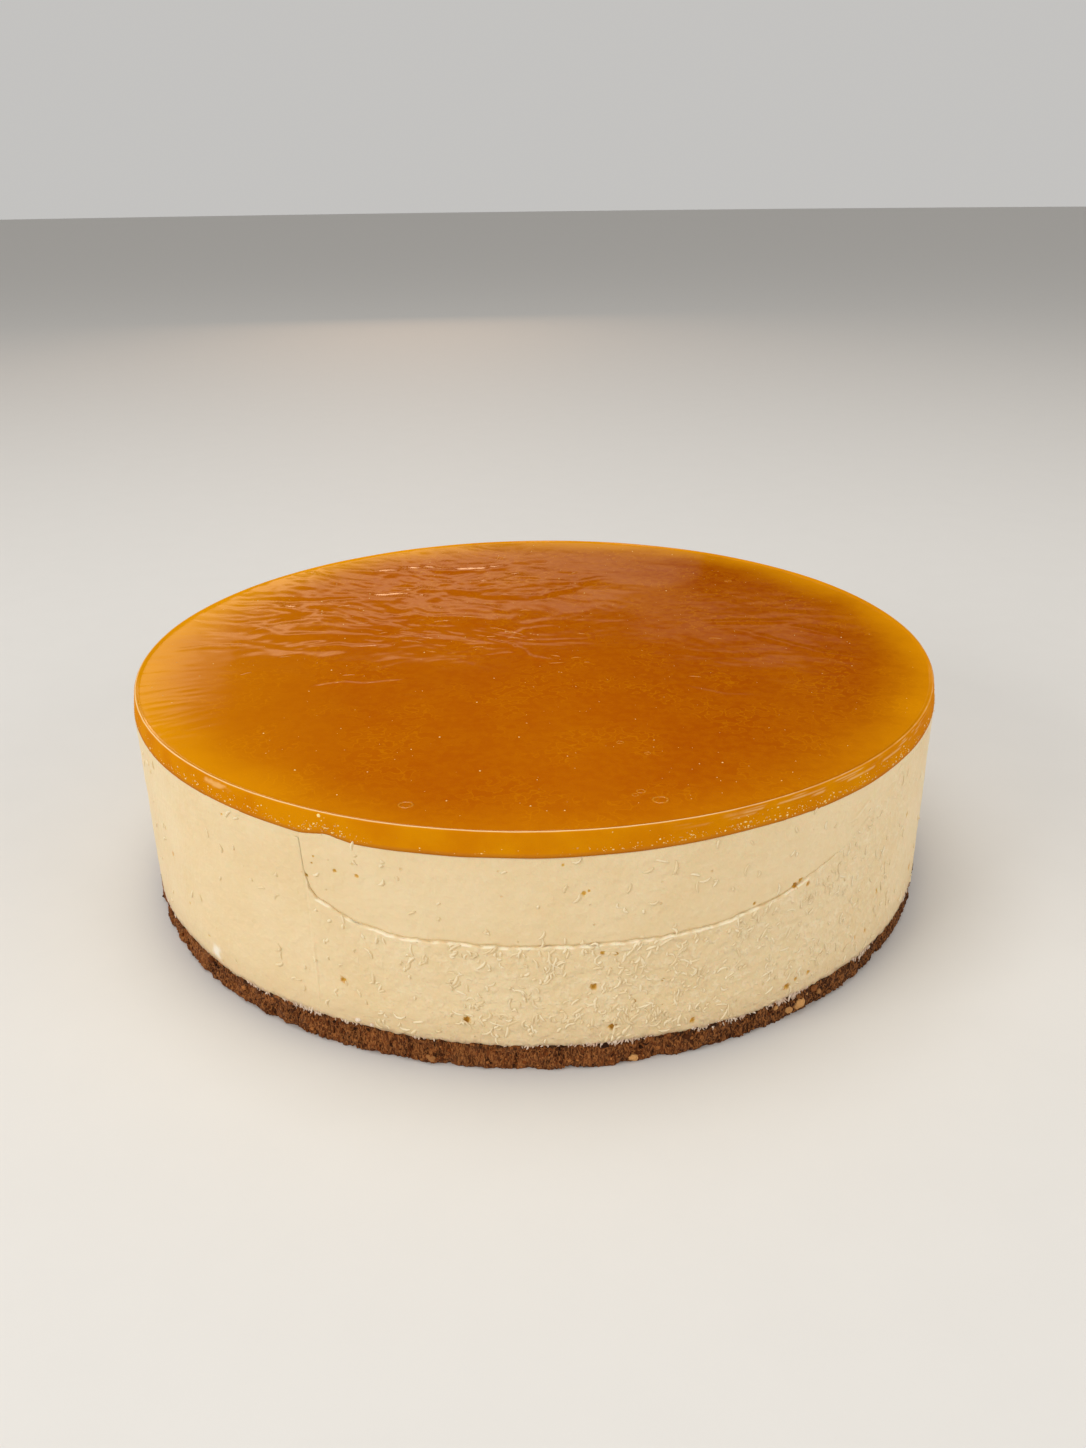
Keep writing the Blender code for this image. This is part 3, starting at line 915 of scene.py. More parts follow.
def jelly_top_colour(finish, settings):
    """Deep amber with cloudy patches, paler at the left, and a painted golden glow where light leaks in at
    the rim.
    """
    uneven = finish.range(finish.noise(40, 3.0, 0.55), 0.25, 0.75, -3 * MM, 2.5 * MM)
    radius = finish.math("ADD", finish.distance_from_axis(), uneven)
    # Painted glow: golden towards the rim.
    golden = finish.math("POWER", finish.range(radius, RIM - 27 * MM, RIM + 2 * MM), 2.0)
    golden = finish.math("MULTIPLY", golden, finish.attribute("glow"))
    across = finish.range(finish.towards(-70), -75 * MM, 25 * MM)
    leftwards = finish.range(finish.towards(-82), 38 * MM, 112 * MM, 0.0, 0.85)
    mottled = finish.range(finish.noise(26, 4.0, 0.6), 0.3, 0.75, 0.0, 0.22)
    cloudy = finish.range(finish.noise(420, 5.0, 0.75), 0.35, 0.75, 0.0, 0.3)
    deep = finish.mix(across, settings.deepest, settings.deep)
    for share in (leftwards, mottled, cloudy):
        deep = finish.mix(share, deep, settings.side)
    patches = finish.range(finish.noise(70), 0.42, 0.62, 0.0, 0.22)
    fibres = finish.math("MULTIPLY", finish.ridges(420, 0.05), patches)
    deep = finish.mix(fibres, deep, settings.golden)
    return finish.mix(golden, deep, settings.golden)


def jelly_finish(settings):
    """Amber jelly with a wet gloss on its top, and dimples where its skin is folded."""
    finish = Finish("amber_jelly")
    side = finish.mix(finish.range(finish.noise(90, 3.0), 0.3, 0.7), settings.side, PALER_SIDE)
    base = finish.mix(finish.attribute("side"), jelly_top_colour(finish, settings), side)
    base = finish.mix(finish.attribute("lower_edge"), base, JELLY_FOOT)
    base = finish.mix(finish.attribute("scuffed"), base, SCUFFED_JELLY)
    # Painted highlight on the lip and in lines along the side.
    base = finish.mix(finish.attribute("lip"), base, LIP_HIGHLIGHT)
    crinkled = finish.math("MULTIPLY", finish.noise(310, 3.0, 0.6), finish.attribute("folded"))
    dimpled = finish.bump(crinkled, 0.3 * MM, 0.8)
    dimpled = finish.bump(finish.noise(650, 4.0, 0.65), 0.16 * MM, 0.6, over=dimpled)
    on_top = finish.range(finish.attribute("side"), 1.0, 0.0)
    return finish.set(
        base_color=base,
        roughness=0.35,
        specular_ior_level=0.0,
        coat_weight=finish.math("ADD", finish.math("MULTIPLY", on_top, 0.8), 0.03),
        coat_roughness=0.09,
        coat_ior=1.38,
        normal=dimpled,
    )


def bubble_finish(settings):
    """Air caught in the jelly: a pale glint in the amber."""
    finish = Finish("trapped_bubbles")
    base = finish.mix(finish.range(finish.attribute("tone"), 0.0, 1.0), settings.side, settings.bubble)
    return finish.set(base_color=base, roughness=0.12, coat_weight=0.6, coat_roughness=0.05)


def crust_relief(azimuth, height):
    """(inset, proud): how deep the crumb's side lies there, and from -1 to 1 how far its ribs stand out."""
    spot = on_side(azimuth, RIM, height)
    large = spot / CRAG_SPAN
    bumps = noise.noise(large) + 0.5 * noise.noise(2 * large)
    crag = CRAG_DEPTH * (min(bumps, CRAG_PROUD) - CRAG_PROUD - CRAG_MEAN)
    lean = 0.6 * noise.noise(spot / RIB_LEAN_SPAN)
    along = azimuth * RIM / RIB_WIDTH + lean * height / (1.2 * MM)
    ribs = 1 - 3 * abs(noise.noise(Vector((along, height / RIB_LENGTH, 2.2))))
    grains = 0.5 - noise.voronoi(spot / GRAIN_SPAN)[0][0]
    grit = noise.noise(spot / GRIT_SPAN)
    proud = 0.55 * ribs + 0.6 * grains + 0.3 * grit
    return -CRAG_SHARE * crag - FINE_RELIEF * proud, proud


def crust_side(azimuth, height):
    """The radius of the crumb's side, drawn in towards its foot."""
    foot = FOOT_INSET * (1 - min(height / FOOT_HEIGHT, 1)) ** 2.2
    return RIM - foot - max(crust_relief(azimuth, height)[0], -0.3 * MM)


class CHEESECAKE_OT_crumb_base(bpy.types.Operator):
    """Makes the craggy disc of pressed crumb"""

    bl_idname = "cheesecake.crumb_base"
    bl_label = "Crumb base"

    def execute(self, context):
        profile = [(0, 0), (LAYER_CORE, 0)]
        profile += [(RIM, share * BASE_THICKNESS) for share in (0, 1 / 3, 2 / 3, 1)]
        profile += [(LAYER_CORE, BASE_THICKNESS), (0, BASE_THICKNESS)]
        shape = turned(profile, 240)
        refine(shape, lambda place: place.xy.length > SIDE_BAND, 7)
        proud, shadow_under_filling = new_marks(shape, "proud", "shadow_under_filling")
        for point in shape.verts:
            radius, azimuth = around(point.co)
            if radius < SIDE_BAND:
                continue
            share = point.co.z / BASE_THICKNESS
            top = BASE_THICKNESS + base_wander(azimuth)
            height = share * (top + HIDDEN_RISE)
            point[proud] = crust_relief(azimuth, height)[1]
            # Painted shadow under the overhanging filling: broken dark patches along the top of the crumb's
            # side.
            hollows = blend(noise.noise(on_side(azimuth, RIM, height) / (1.3 * MM)), -0.05, 0.2)
            point[shadow_under_filling] = 0.9 * hollows * blend(height, top - 1.9 * MM, top - 0.3 * MM)
            hidden = HIDDEN_INSET * blend(height, top + 0.3 * MM, top + 1.0 * MM)
            point.co = on_side(azimuth, crust_side(azimuth, height) - hidden, height)
        crust = add_piece("crumb_base_crust", shape)
        hand_over(crust, crumb_finish(context.scene.cheesecake.crust), "crumb_base")
        return {"FINISHED"}


class CHEESECAKE_OT_crumb_grains(bpy.types.Operator):
    """Scatters grains, lumps and a few chips of biscuit over the side of the crumb"""

    bl_idname = "cheesecake.crumb_grains"
    bl_label = "Crumb grains"

    def execute(self, context):
        settings = context.scene.cheesecake.crust
        finish = grain_finish("biscuit_grains", settings.light, settings, 0.5)
        draw = random.Random(SEED)
        self.scatter("crumb_grains", settings.grains, (0.35 * MM, settings.largest_grain), 1, finish, draw)
        self.scatter("crumb_lumps", settings.lumps, (1.4 * MM, 2.4 * MM), 2, finish, draw)
        places, tones = [], []
        for degrees, height, size, tone in CHIPS:
            azimuth, height = math.radians(degrees), height * MM
            radius = min(crust_side(azimuth, height), RIM - 0.3 * MM)
            place = on_side(azimuth, radius, height)
            size = [side * MM for side in size]
            places.append(lying_at(place, size, azimuth, draw.uniform(-0.4, 0.4)))
            tones.append(tone)
        chips = scattered("biscuit_chips", ball(2), places, tones, draw, (0.8, 1.14))
        finish = grain_finish("biscuit_chip", PALE_CHIP, settings, 0.15)
        hand_over(chips, finish, "crumb_base")
        chips.data.shade_flat()
        return {"FINISHED"}

    def scatter(self, name, count, sizes, detail, finish, draw):
        smallest, largest = sizes
        places, tones = [], []
        for _ in range(count):
            azimuth = draw.uniform(0, math.tau)
            long_side = smallest + (largest - smallest) * draw.random() ** 2.5
            size = [long_side * draw.uniform(0.6, 1) for _ in range(3)]
            highest = BASE_THICKNESS + base_wander(azimuth) - 0.2 * MM
            height = draw.uniform(0.55 * long_side, highest)
            radius = crust_side(azimuth, height) - 0.15 * long_side
            place = on_side(azimuth, min(radius, RIM), height)
            places.append(lying_at(place, size, draw.uniform(0, math.tau), draw.uniform(0, math.tau)))
            tones.append(draw.random() ** 1.4)
        hand_over(scattered(name, ball(detail), places, tones, draw), finish, "crumb_base")


def all_holes():
    """The named bubbles of the front, and others drawn at random round the rest of the cake."""
    draw = random.Random(SEED + 1)
    holes = [(math.radians(degrees), *(size * MM for size in sizes)) for degrees, *sizes in HOLES]
    first, last = SIDE_HOLE_AZIMUTHS
    smallest, largest = SIDE_HOLE_WIDTHS
    for number in range(SIDE_HOLES):
        azimuth = math.radians(first + (last - first) * (number + draw.random()) / SIDE_HOLES)
        width = smallest + (largest - smallest) * draw.random() ** 2
        holes.append((azimuth, draw.uniform(*SIDE_HOLE_HEIGHTS), width, 0.65 * width))
    return holes


def hole_at(holes, azimuth, height):
    """(depth, share): how deep an open bubble goes in there, and 1 well inside it down to 0 outside."""
    depth, inside = 0, 0
    for hole_azimuth, hole_height, width, hole_depth in holes:
        across = RIM * math.radians(turn_from(azimuth, math.degrees(hole_azimuth)))
        if abs(across) > width or abs(height - hole_height) > width:
            continue
        jagged = 1 + 0.5 * noise.noise(on_side(azimuth, RIM, height) / (0.5 * MM))
        away = ((abs(across) ** 3 + abs(height - hole_height) ** 3) ** (1 / 3)) / (0.5 * width * jagged)
        if away < 1.25:
            depth = max(depth, 0.75 * hole_depth * blend(away, 1.15, 0.45))
            inside = max(inside, blend(away, 1.2, 0.75))
    return depth, inside


def near_a_hole(holes):
    """A test of whether a point of the side lies at one of the holes."""

    def chosen(place):
        radius, azimuth = around(place)
        if radius <= SIDE_BAND:
            return False
        for hole_azimuth, hole_height, width, _ in holes:
            reach = 0.5 * width + 0.6 * MM
            across = RIM * math.radians(turn_from(azimuth, math.degrees(hole_azimuth)))
            if abs(across) < reach and abs(place.z - hole_height) < reach:
                return True
        return False

    return chosen


def side_marks(azimuth, height):
    """How far the marks left by ring and knife stand out there."""
    stands_out = 0
    for line, half_width, rise in SIDE_MARKS:
        first = line[0][0]
        if abs(turn_from(azimuth, first)) > 12:
            continue
        points = [(RIM * math.radians(turn), mark_height * MM) for turn, mark_height in line]
        across = RIM * math.radians(first + turn_from(azimuth, first))
        stands_out += rise * MM * nearness(across, height, points, half_width * MM)
    return stands_out


def twice_round(azimuth, degrees):
    """1 at a place given in degrees and opposite it, and 0 half way between them."""
    return 0.5 + 0.5 * math.cos(2 * (azimuth - math.radians(degrees)))


def roughened(azimuth):
    """How rough the first batch is round there, from 0 to 1: most at the front right and opposite."""
    return twice_round(azimuth, ROUGHEST) ** 1.5


def wall_unevenness(azimuth, height):
    """How far the wall of the filling strays from round, in slow swells and small ones."""
    spot = on_side(azimuth, RIM, height)
    slow = 0.12 * MM * ripple(azimuth, 22, height / (9 * MM))
    return slow + 0.07 * MM * noise.noise(spot / (3.2 * MM)) + 0.03 * MM * noise.noise(spot / (1.1 * MM))


def fringe(azimuth, length):
    """How far the teeth of the filling's lower edge hang down over the crumb, or stand up from it."""
    spot = on_side(azimuth, RIM, 0)
    tooth = 1 - min(abs(noise.noise(spot / (1.1 * MM))) / 0.3, 1)
    patchy = 0.35 + 0.65 * blend(noise.noise(spot / (7 * MM)), -0.3, 0.4)
    slow = 0.5 * MM * noise.noise(spot / (2.6 * MM)) + 0.3 * MM * noise.noise(spot / (0.9 * MM))
    return slow - length * patchy * tooth


def dimples(azimuth, height):
    """Soft dimples and bumps a few millimetres wide, from smeared cream."""
    spot = on_side(azimuth, RIM, height)
    return noise.noise(spot / (2.4 * MM)) + 0.6 * noise.noise(spot / (1.2 * MM))


def first_batch_radius(settings, azimuth, height):
    """The wall of the first batch: proud below the ledge, rounded at it and tucked in at its foot."""
    below = -over_seam(azimuth, height)
    rounding = 0.3 * MM
    rounded = math.sqrt(1 - (1 - min(max(below, 0) / rounding, 1)) ** 2)
    proud = settings.ledge * rounded * seam_strength(azimuth) * (1 - 0.75 * blend(below, 1 * MM, 14 * MM))
    rough = settings.dimples * (0.2 + 0.8 * roughened(azimuth)) * dimples(azimuth, height)
    tucked = 0.2 * MM * blend(height, FILLING_BOTTOM + 1.5 * MM, FILLING_BOTTOM - 1.5 * MM)
    return RIM + proud + rough + wall_unevenness(azimuth, height) + side_marks(azimuth, height) - tucked


def second_batch_radius(settings, azimuth, height):
    """The wall of the second batch, which dips into a crease over the ledge."""
    above = over_seam(azimuth, height)
    crease = settings.crease * seam_strength(azimuth) * blend(above, 0.7 * MM, 0)
    rough = 0.25 * settings.dimples * roughened(azimuth) * dimples(azimuth, height)
    return RIM - crease + rough + wall_unevenness(azimuth, height) + side_marks(azimuth, height)


def seam_light_and_shade(azimuth, height):
    """Painted light at the ledge: more than 0 for a painted highlight on its pale edge and less than 0 for
    painted shade in the crease over it, with gaps.
    """
    away = over_seam(azimuth, height)
    if abs(away) > MM:
        return 0
    steep = blend(abs(turn_from(azimuth, -27)), 14, 6)
    broken = blend(noise.noise(on_side(azimuth, RIM, height) / (2.6 * MM)), -0.45, 0.1)
    broken_upright = blend(noise.noise(Vector((0, 0, height)) / (1.5 * MM)), -0.1, 0.2)
    shown = (broken * (1 - steep) + steep * broken_upright) * seam_strength(azimuth)
    if away < 0.02 * MM:
        return shown * blend(-away, 0.6 * MM, 0.25 * MM)
    return -shown * blend(away, 0.5 * MM, 0.2 * MM)


def drawn_together(azimuth):
    """Moves a column of the wall towards the steep end of the seam, so that more of them lie there."""
    turn = (azimuth - STEEP_AZIMUTH + math.pi) % math.tau - math.pi
    return azimuth - STEEP_SHARE * turn * math.exp(-((turn / STEEP_REACH) ** 2))


def pale_patch(azimuth, height):
    """How strongly the pale smear shows there."""
    place, level, half_width, half_height = PALE_PATCH
    across = RIM * math.radians(turn_from(azimuth, place)) / half_width
    up = (height - level) / half_height
    ragged = 0.5 * noise.noise(on_side(azimuth, RIM, height) / (1.2 * MM))
    return 0.8 * blend(math.hypot(across, up) + ragged, 1.0, 0.4)


def finish_wall(shape, holes, wall_radius, roughest):
    """Refines the wall round the open bubbles, gives it its relief and marks what its finish needs."""
    refine(shape, near_a_hole(holes), 2)
    names = ("rough", "hollow", "pale", "tint", "above_crumb")
    rough, hollow, pale, tint, above_crumb = new_marks(shape, *names)
    for point in shape.verts:
        radius, azimuth = around(point.co)
        if radius < SIDE_BAND:
            continue
        height = point.co.z
        depth, point[hollow] = hole_at(holes, azimuth, height)
        point[pale] = pale_patch(azimuth, height)
        point[rough] = roughest * roughened(azimuth)
        marks = side_marks(azimuth, height) / (0.3 * MM)
        flecks = 0.25 * point[rough] * wandering_ridges(point.co, 2.2 * MM, 0.16, 5.0)
        # The tint paints light and shade: a highlight on the ledge's edge and on marks that stand out,
        # shade in the crease over the ledge and in sunk marks, and pale flecks that are partly a painted
        # highlight.
        point[tint] = seam_light_and_shade(azimuth, height) + 0.5 * marks + flecks
        point[above_crumb] = (height - FILLING_BOTTOM - base_wander(azimuth)) / MM
        point.co = on_side(azimuth, wall_radius(azimuth, height) - depth, height)


class CHEESECAKE_OT_first_batch(bpy.types.Operator):
    """Makes the lower batch of filling, which stands out a little below its rounded edge"""

    bl_idname = "cheesecake.first_batch"
    bl_label = "First batch of filling"

    def execute(self, context):
        settings = context.scene.cheesecake.filling
        inside_top = 25 * MM
        rows = 7
        profile = [(0, FILLING_BOTTOM), (LAYER_CORE, FILLING_BOTTOM)]
        profile += [
            (RIM, FILLING_BOTTOM + (SEAM_HEIGHT - FILLING_BOTTOM) * row / rows) for row in range(rows + 1)
        ]
        profile += [(RIM - 3 * MM, SEAM_HEIGHT), (RIM - 8 * MM, inside_top), (0, inside_top)]
        shape = turned(profile, WALL_STEPS)
        refine(shape, lambda place: place.xy.length > SIDE_BAND, 7)
        for point in shape.verts:
            radius, azimuth = around(point.co)
            if radius < SEAM_BAND:
                continue
            azimuth = drawn_together(azimuth)
            seam = seam_height(azimuth)
            if radius < SIDE_BAND:
                height = seam if point.co.z > inside_top else FILLING_BOTTOM
                point.co = on_side(azimuth, radius, height)
                continue
            share = (point.co.z - FILLING_BOTTOM) / (SEAM_HEIGHT - FILLING_BOTTOM)
            share = 1 - max(1 - share, 0) ** 1.35
            low = FILLING_BOTTOM + base_wander(azimuth) + fringe(azimuth, settings.fringe)
            point.co = on_side(azimuth, RIM, low + share * (seam - low))
        finish_wall(shape, all_holes(), lambda *place: first_batch_radius(settings, *place), 1)
        finish = cream_finish("cream_first_batch", settings, 0.5)
        hand_over(add_piece("filling_first_batch", shape), finish, "cheese_filling")
        return {"FINISHED"}


class CHEESECAKE_OT_teeth(bpy.types.Operator):
    """Makes the strands of cream that were dragged down over the crumb"""

    bl_idname = "cheesecake.teeth"
    bl_label = "Strands on the crumb"

    def execute(self, context):
        settings = context.scene.cheesecake.filling
        draw = random.Random(SEED + 3)
        places, tones = [], []
        while len(places) < settings.teeth:
            azimuth = draw.uniform(0, math.tau)
            crowd = ripple(azimuth, 60, 31.7) + 0.35 * blend(abs(turn_from(azimuth, MOST_STRANDS)), 32, 12)
            if crowd < draw.uniform(0.0, 0.6):
                continue
            long_side = 0.5 * MM + 1.8 * MM * min(crowd, 1) * draw.random() ** 1.5
            width = draw.uniform(0.22, 0.5) * MM
            low = FILLING_BOTTOM + base_wander(azimuth) + fringe(azimuth, settings.fringe)
            height = low - 0.3 * long_side + draw.uniform(0, 0.5) * MM
            lean = math.pi / 2 + draw.gauss(0.6 * ripple(azimuth, 25, 14.1), 0.45)
            size = (1.4 * long_side, 0.8 * width, width)
            radius = RIM - draw.uniform(0.0, 0.3) * MM
            places.append(bent_on_wall(azimuth, radius, height, size, lean, draw.gauss(0, 0.15) * MM))
            tones.append(draw.random())
        for degrees, height, width in NUBS:
            azimuth = math.radians(degrees)
            width *= MM
            place = on_side(azimuth, RIM - 0.05 * MM, height * MM)
            places.append(lying_at(place, (width, 0.9 * width, 0.8 * width), azimuth))
            tones.append(1)
        teeth = scattered("filling_strands", capsule(), places, tones, draw, (0.85, 1.1))
        hand_over(teeth, strand_finish(settings), "cheese_filling")
        return {"FINISHED"}


class CHEESECAKE_OT_ridges(bpy.types.Operator):
    """Makes the short bent ridges of smeared cream on the first batch, each with a darker copy as its
    painted shadow
    """

    bl_idname = "cheesecake.ridges"
    bl_label = "Ridges on the first batch"

    def execute(self, context):
        settings = context.scene.cheesecake.filling
        draw = random.Random(SEED + 4)
        places, tones = [], []
        while len(places) < 2 * settings.ridges:
            azimuth = draw.uniform(0, math.tau)
            low = FILLING_BOTTOM + base_wander(azimuth) + 0.8 * MM
            height = draw.uniform(low, FILLING_TOP)
            below = -over_seam(azimuth, height)
            spot = on_side(azimuth, RIM, height)
            crowded = twice_round(azimuth, MOST_RIDGES) ** 4
            crowd = (0.03 + crowded) * blend(noise.noise(spot / (6 * MM)), -0.5, 0.35)
            if below < 0.5 * MM:
                crowd *= 0.12
            if crowd < draw.random():
                continue
            length = 1.1 * MM + 2.6 * MM * draw.random() ** 2
            width = draw.uniform(0.42, 0.78) * MM
            size = (length, draw.uniform(0.45, 0.7) * MM, width)
            radius = self.wall_radius(settings, azimuth, height, below)
            lean, bend = draw.gauss(1.1, 0.8), draw.gauss(0, 0.22) * length
            places.append(bent_on_wall(azimuth, radius, height, size, lean, bend))
            tones.append(draw.random())
            # A darker copy, lower, to the right and a little sunk: the ridge's painted shadow.
            shaded = (azimuth + 0.2 * MM / RIM, radius - 0.06 * MM, height - 0.15 * MM)
            places.append(bent_on_wall(*shaded, size, lean, bend))
            tones.append(-1)
        ridges = scattered("filling_ridges", capsule(), places, tones, draw, (0.9, 1.06))
        hand_over(ridges, ridge_finish(settings), "cheese_filling")
        return {"FINISHED"}

    def wall_radius(self, settings, azimuth, height, below):
        if below > 0:
            return first_batch_radius(settings, azimuth, height)
        return second_batch_radius(settings, azimuth, height)


class CHEESECAKE_OT_second_batch(bpy.types.Operator):
    """Makes the upper batch of filling, which dips into a crease over the ledge"""

    bl_idname = "cheesecake.second_batch"
    bl_label = "Second batch of filling"

    def execute(self, context):
        settings = context.scene.cheesecake.filling
        inside_bottom = 25.4 * MM
        overlap = 0.08 * MM
        rows = 6
        profile = [(0, inside_bottom), (RIM - 8.5 * MM, inside_bottom), (RIM - 3.4 * MM, SEAM_HEIGHT)]
        profile += [
            (RIM, SEAM_HEIGHT + (FILLING_TOP - SEAM_HEIGHT) * row / rows) for row in range(rows + 1)
        ]
        profile += [(LAYER_CORE, FILLING_TOP), (0, FILLING_TOP)]
        shape = turned(profile, WALL_STEPS)
        refine(shape, lambda place: place.xy.length > SIDE_BAND, 7)
        for point in shape.verts:
            radius, azimuth = around(point.co)
            if radius < SEAM_BAND:
                continue
            azimuth = drawn_together(azimuth)
            seam = seam_height(azimuth) - overlap
            high = FILLING_TOP + jelly_wander(azimuth)
            if radius < SIDE_BAND:
                upper = FILLING_TOP + jelly_wander(azimuth) * near_rim(radius)
                point.co = on_side(azimuth, radius, seam if point.co.z < FILLING_TOP - MM else upper)
                continue
            share = max(point.co.z - SEAM_HEIGHT, 0) / (FILLING_TOP - SEAM_HEIGHT)
            point.co = on_side(azimuth, RIM, seam + share**1.4 * (high - seam))
        finish_wall(shape, all_holes(), lambda *place: second_batch_radius(settings, *place), 0.3)
        finish = cream_finish("cream_second_batch", settings, 0.42)
        hand_over(add_piece("filling_second_batch", shape), finish, "cheese_filling")
        return {"FINISHED"}


def in_ellipse(x, y, centre, reach):
    """1 in the middle of an ellipse, falling smoothly to 0 at its edge."""
    away = math.hypot((x - centre[0] * MM) / (reach[0] * MM), (y - centre[1] * MM) / (reach[1] * MM))
    return blend(away, 1, 0.35)


def folded(x, y):
    """How much the skin of the jelly is folded there: fully at the back left, faintly elsewhere."""
    strong = in_ellipse(x, y, (-42, 44), (92, 90))
    faint = 0.3 * in_ellipse(x, y, (62, 10), (55, 60))
    return max(strong, faint, 0.1)


def wrinkles(x, y, height):
    """Folds in the skin of the jelly, from broad swells to bumps of a few millimetres."""
    amount = folded(x, y)
    bend = Vector((x, y, 0.3)) / (26 * MM)
    warped_x = x + 9 * MM * noise.noise(bend)
    warped_y = y + 0.15 * x + 7 * MM * noise.noise(bend + Vector((4, 7, 0)))
    broad = noise.noise(Vector((warped_x / (26 * MM), warped_y / (15 * MM), 1.7)))
    wide = noise.noise(Vector((warped_x / (11 * MM), warped_y / (7 * MM), 8.2)))
    narrow = 1 - 2 * abs(noise.noise(Vector((warped_x / (8 * MM), warped_y / (6 * MM), 6.1))))
    fine = noise.noise(Vector((warped_x / (3.2 * MM), warped_y / (2.4 * MM), 3.3)))
    return height * amount * (1.3 * broad + 0.75 * wide + 0.42 * narrow + 0.3 * fine)


def rim_streaks(x, y):
    """Fine streaks that point at the middle, inside the left part of the rim."""
    radius, azimuth = math.hypot(x, y), math.atan2(x, -y)
    there = blend(abs(turn_from(azimuth, -80)), 45, 10) * blend(radius, RIM - 26 * MM, RIM - 10 * MM)
    if not there:
        return 0
    streak = noise.noise(Vector((azimuth * RIM / (1.6 * MM), radius / (9 * MM), 0.9)))
    return 0.05 * MM * there * streak


def jelly_surface(settings, x, y):
    """The height of the top of the jelly, without its lip."""
    slow = 0.5 * noise.noise(Vector((x, y, 0)) / (24 * MM)) - 0.35
    creases = sum(
        rise * MM * nearness(x / MM, y / MM, line, half_width) for line, half_width, rise in TOP_CREASES
    )
    relief = wrinkles(x, y, settings.wrinkle) + rim_streaks(x, y) + creases
    return CAKE_HEIGHT - settings.lip_height + 0.22 * MM * slow + relief


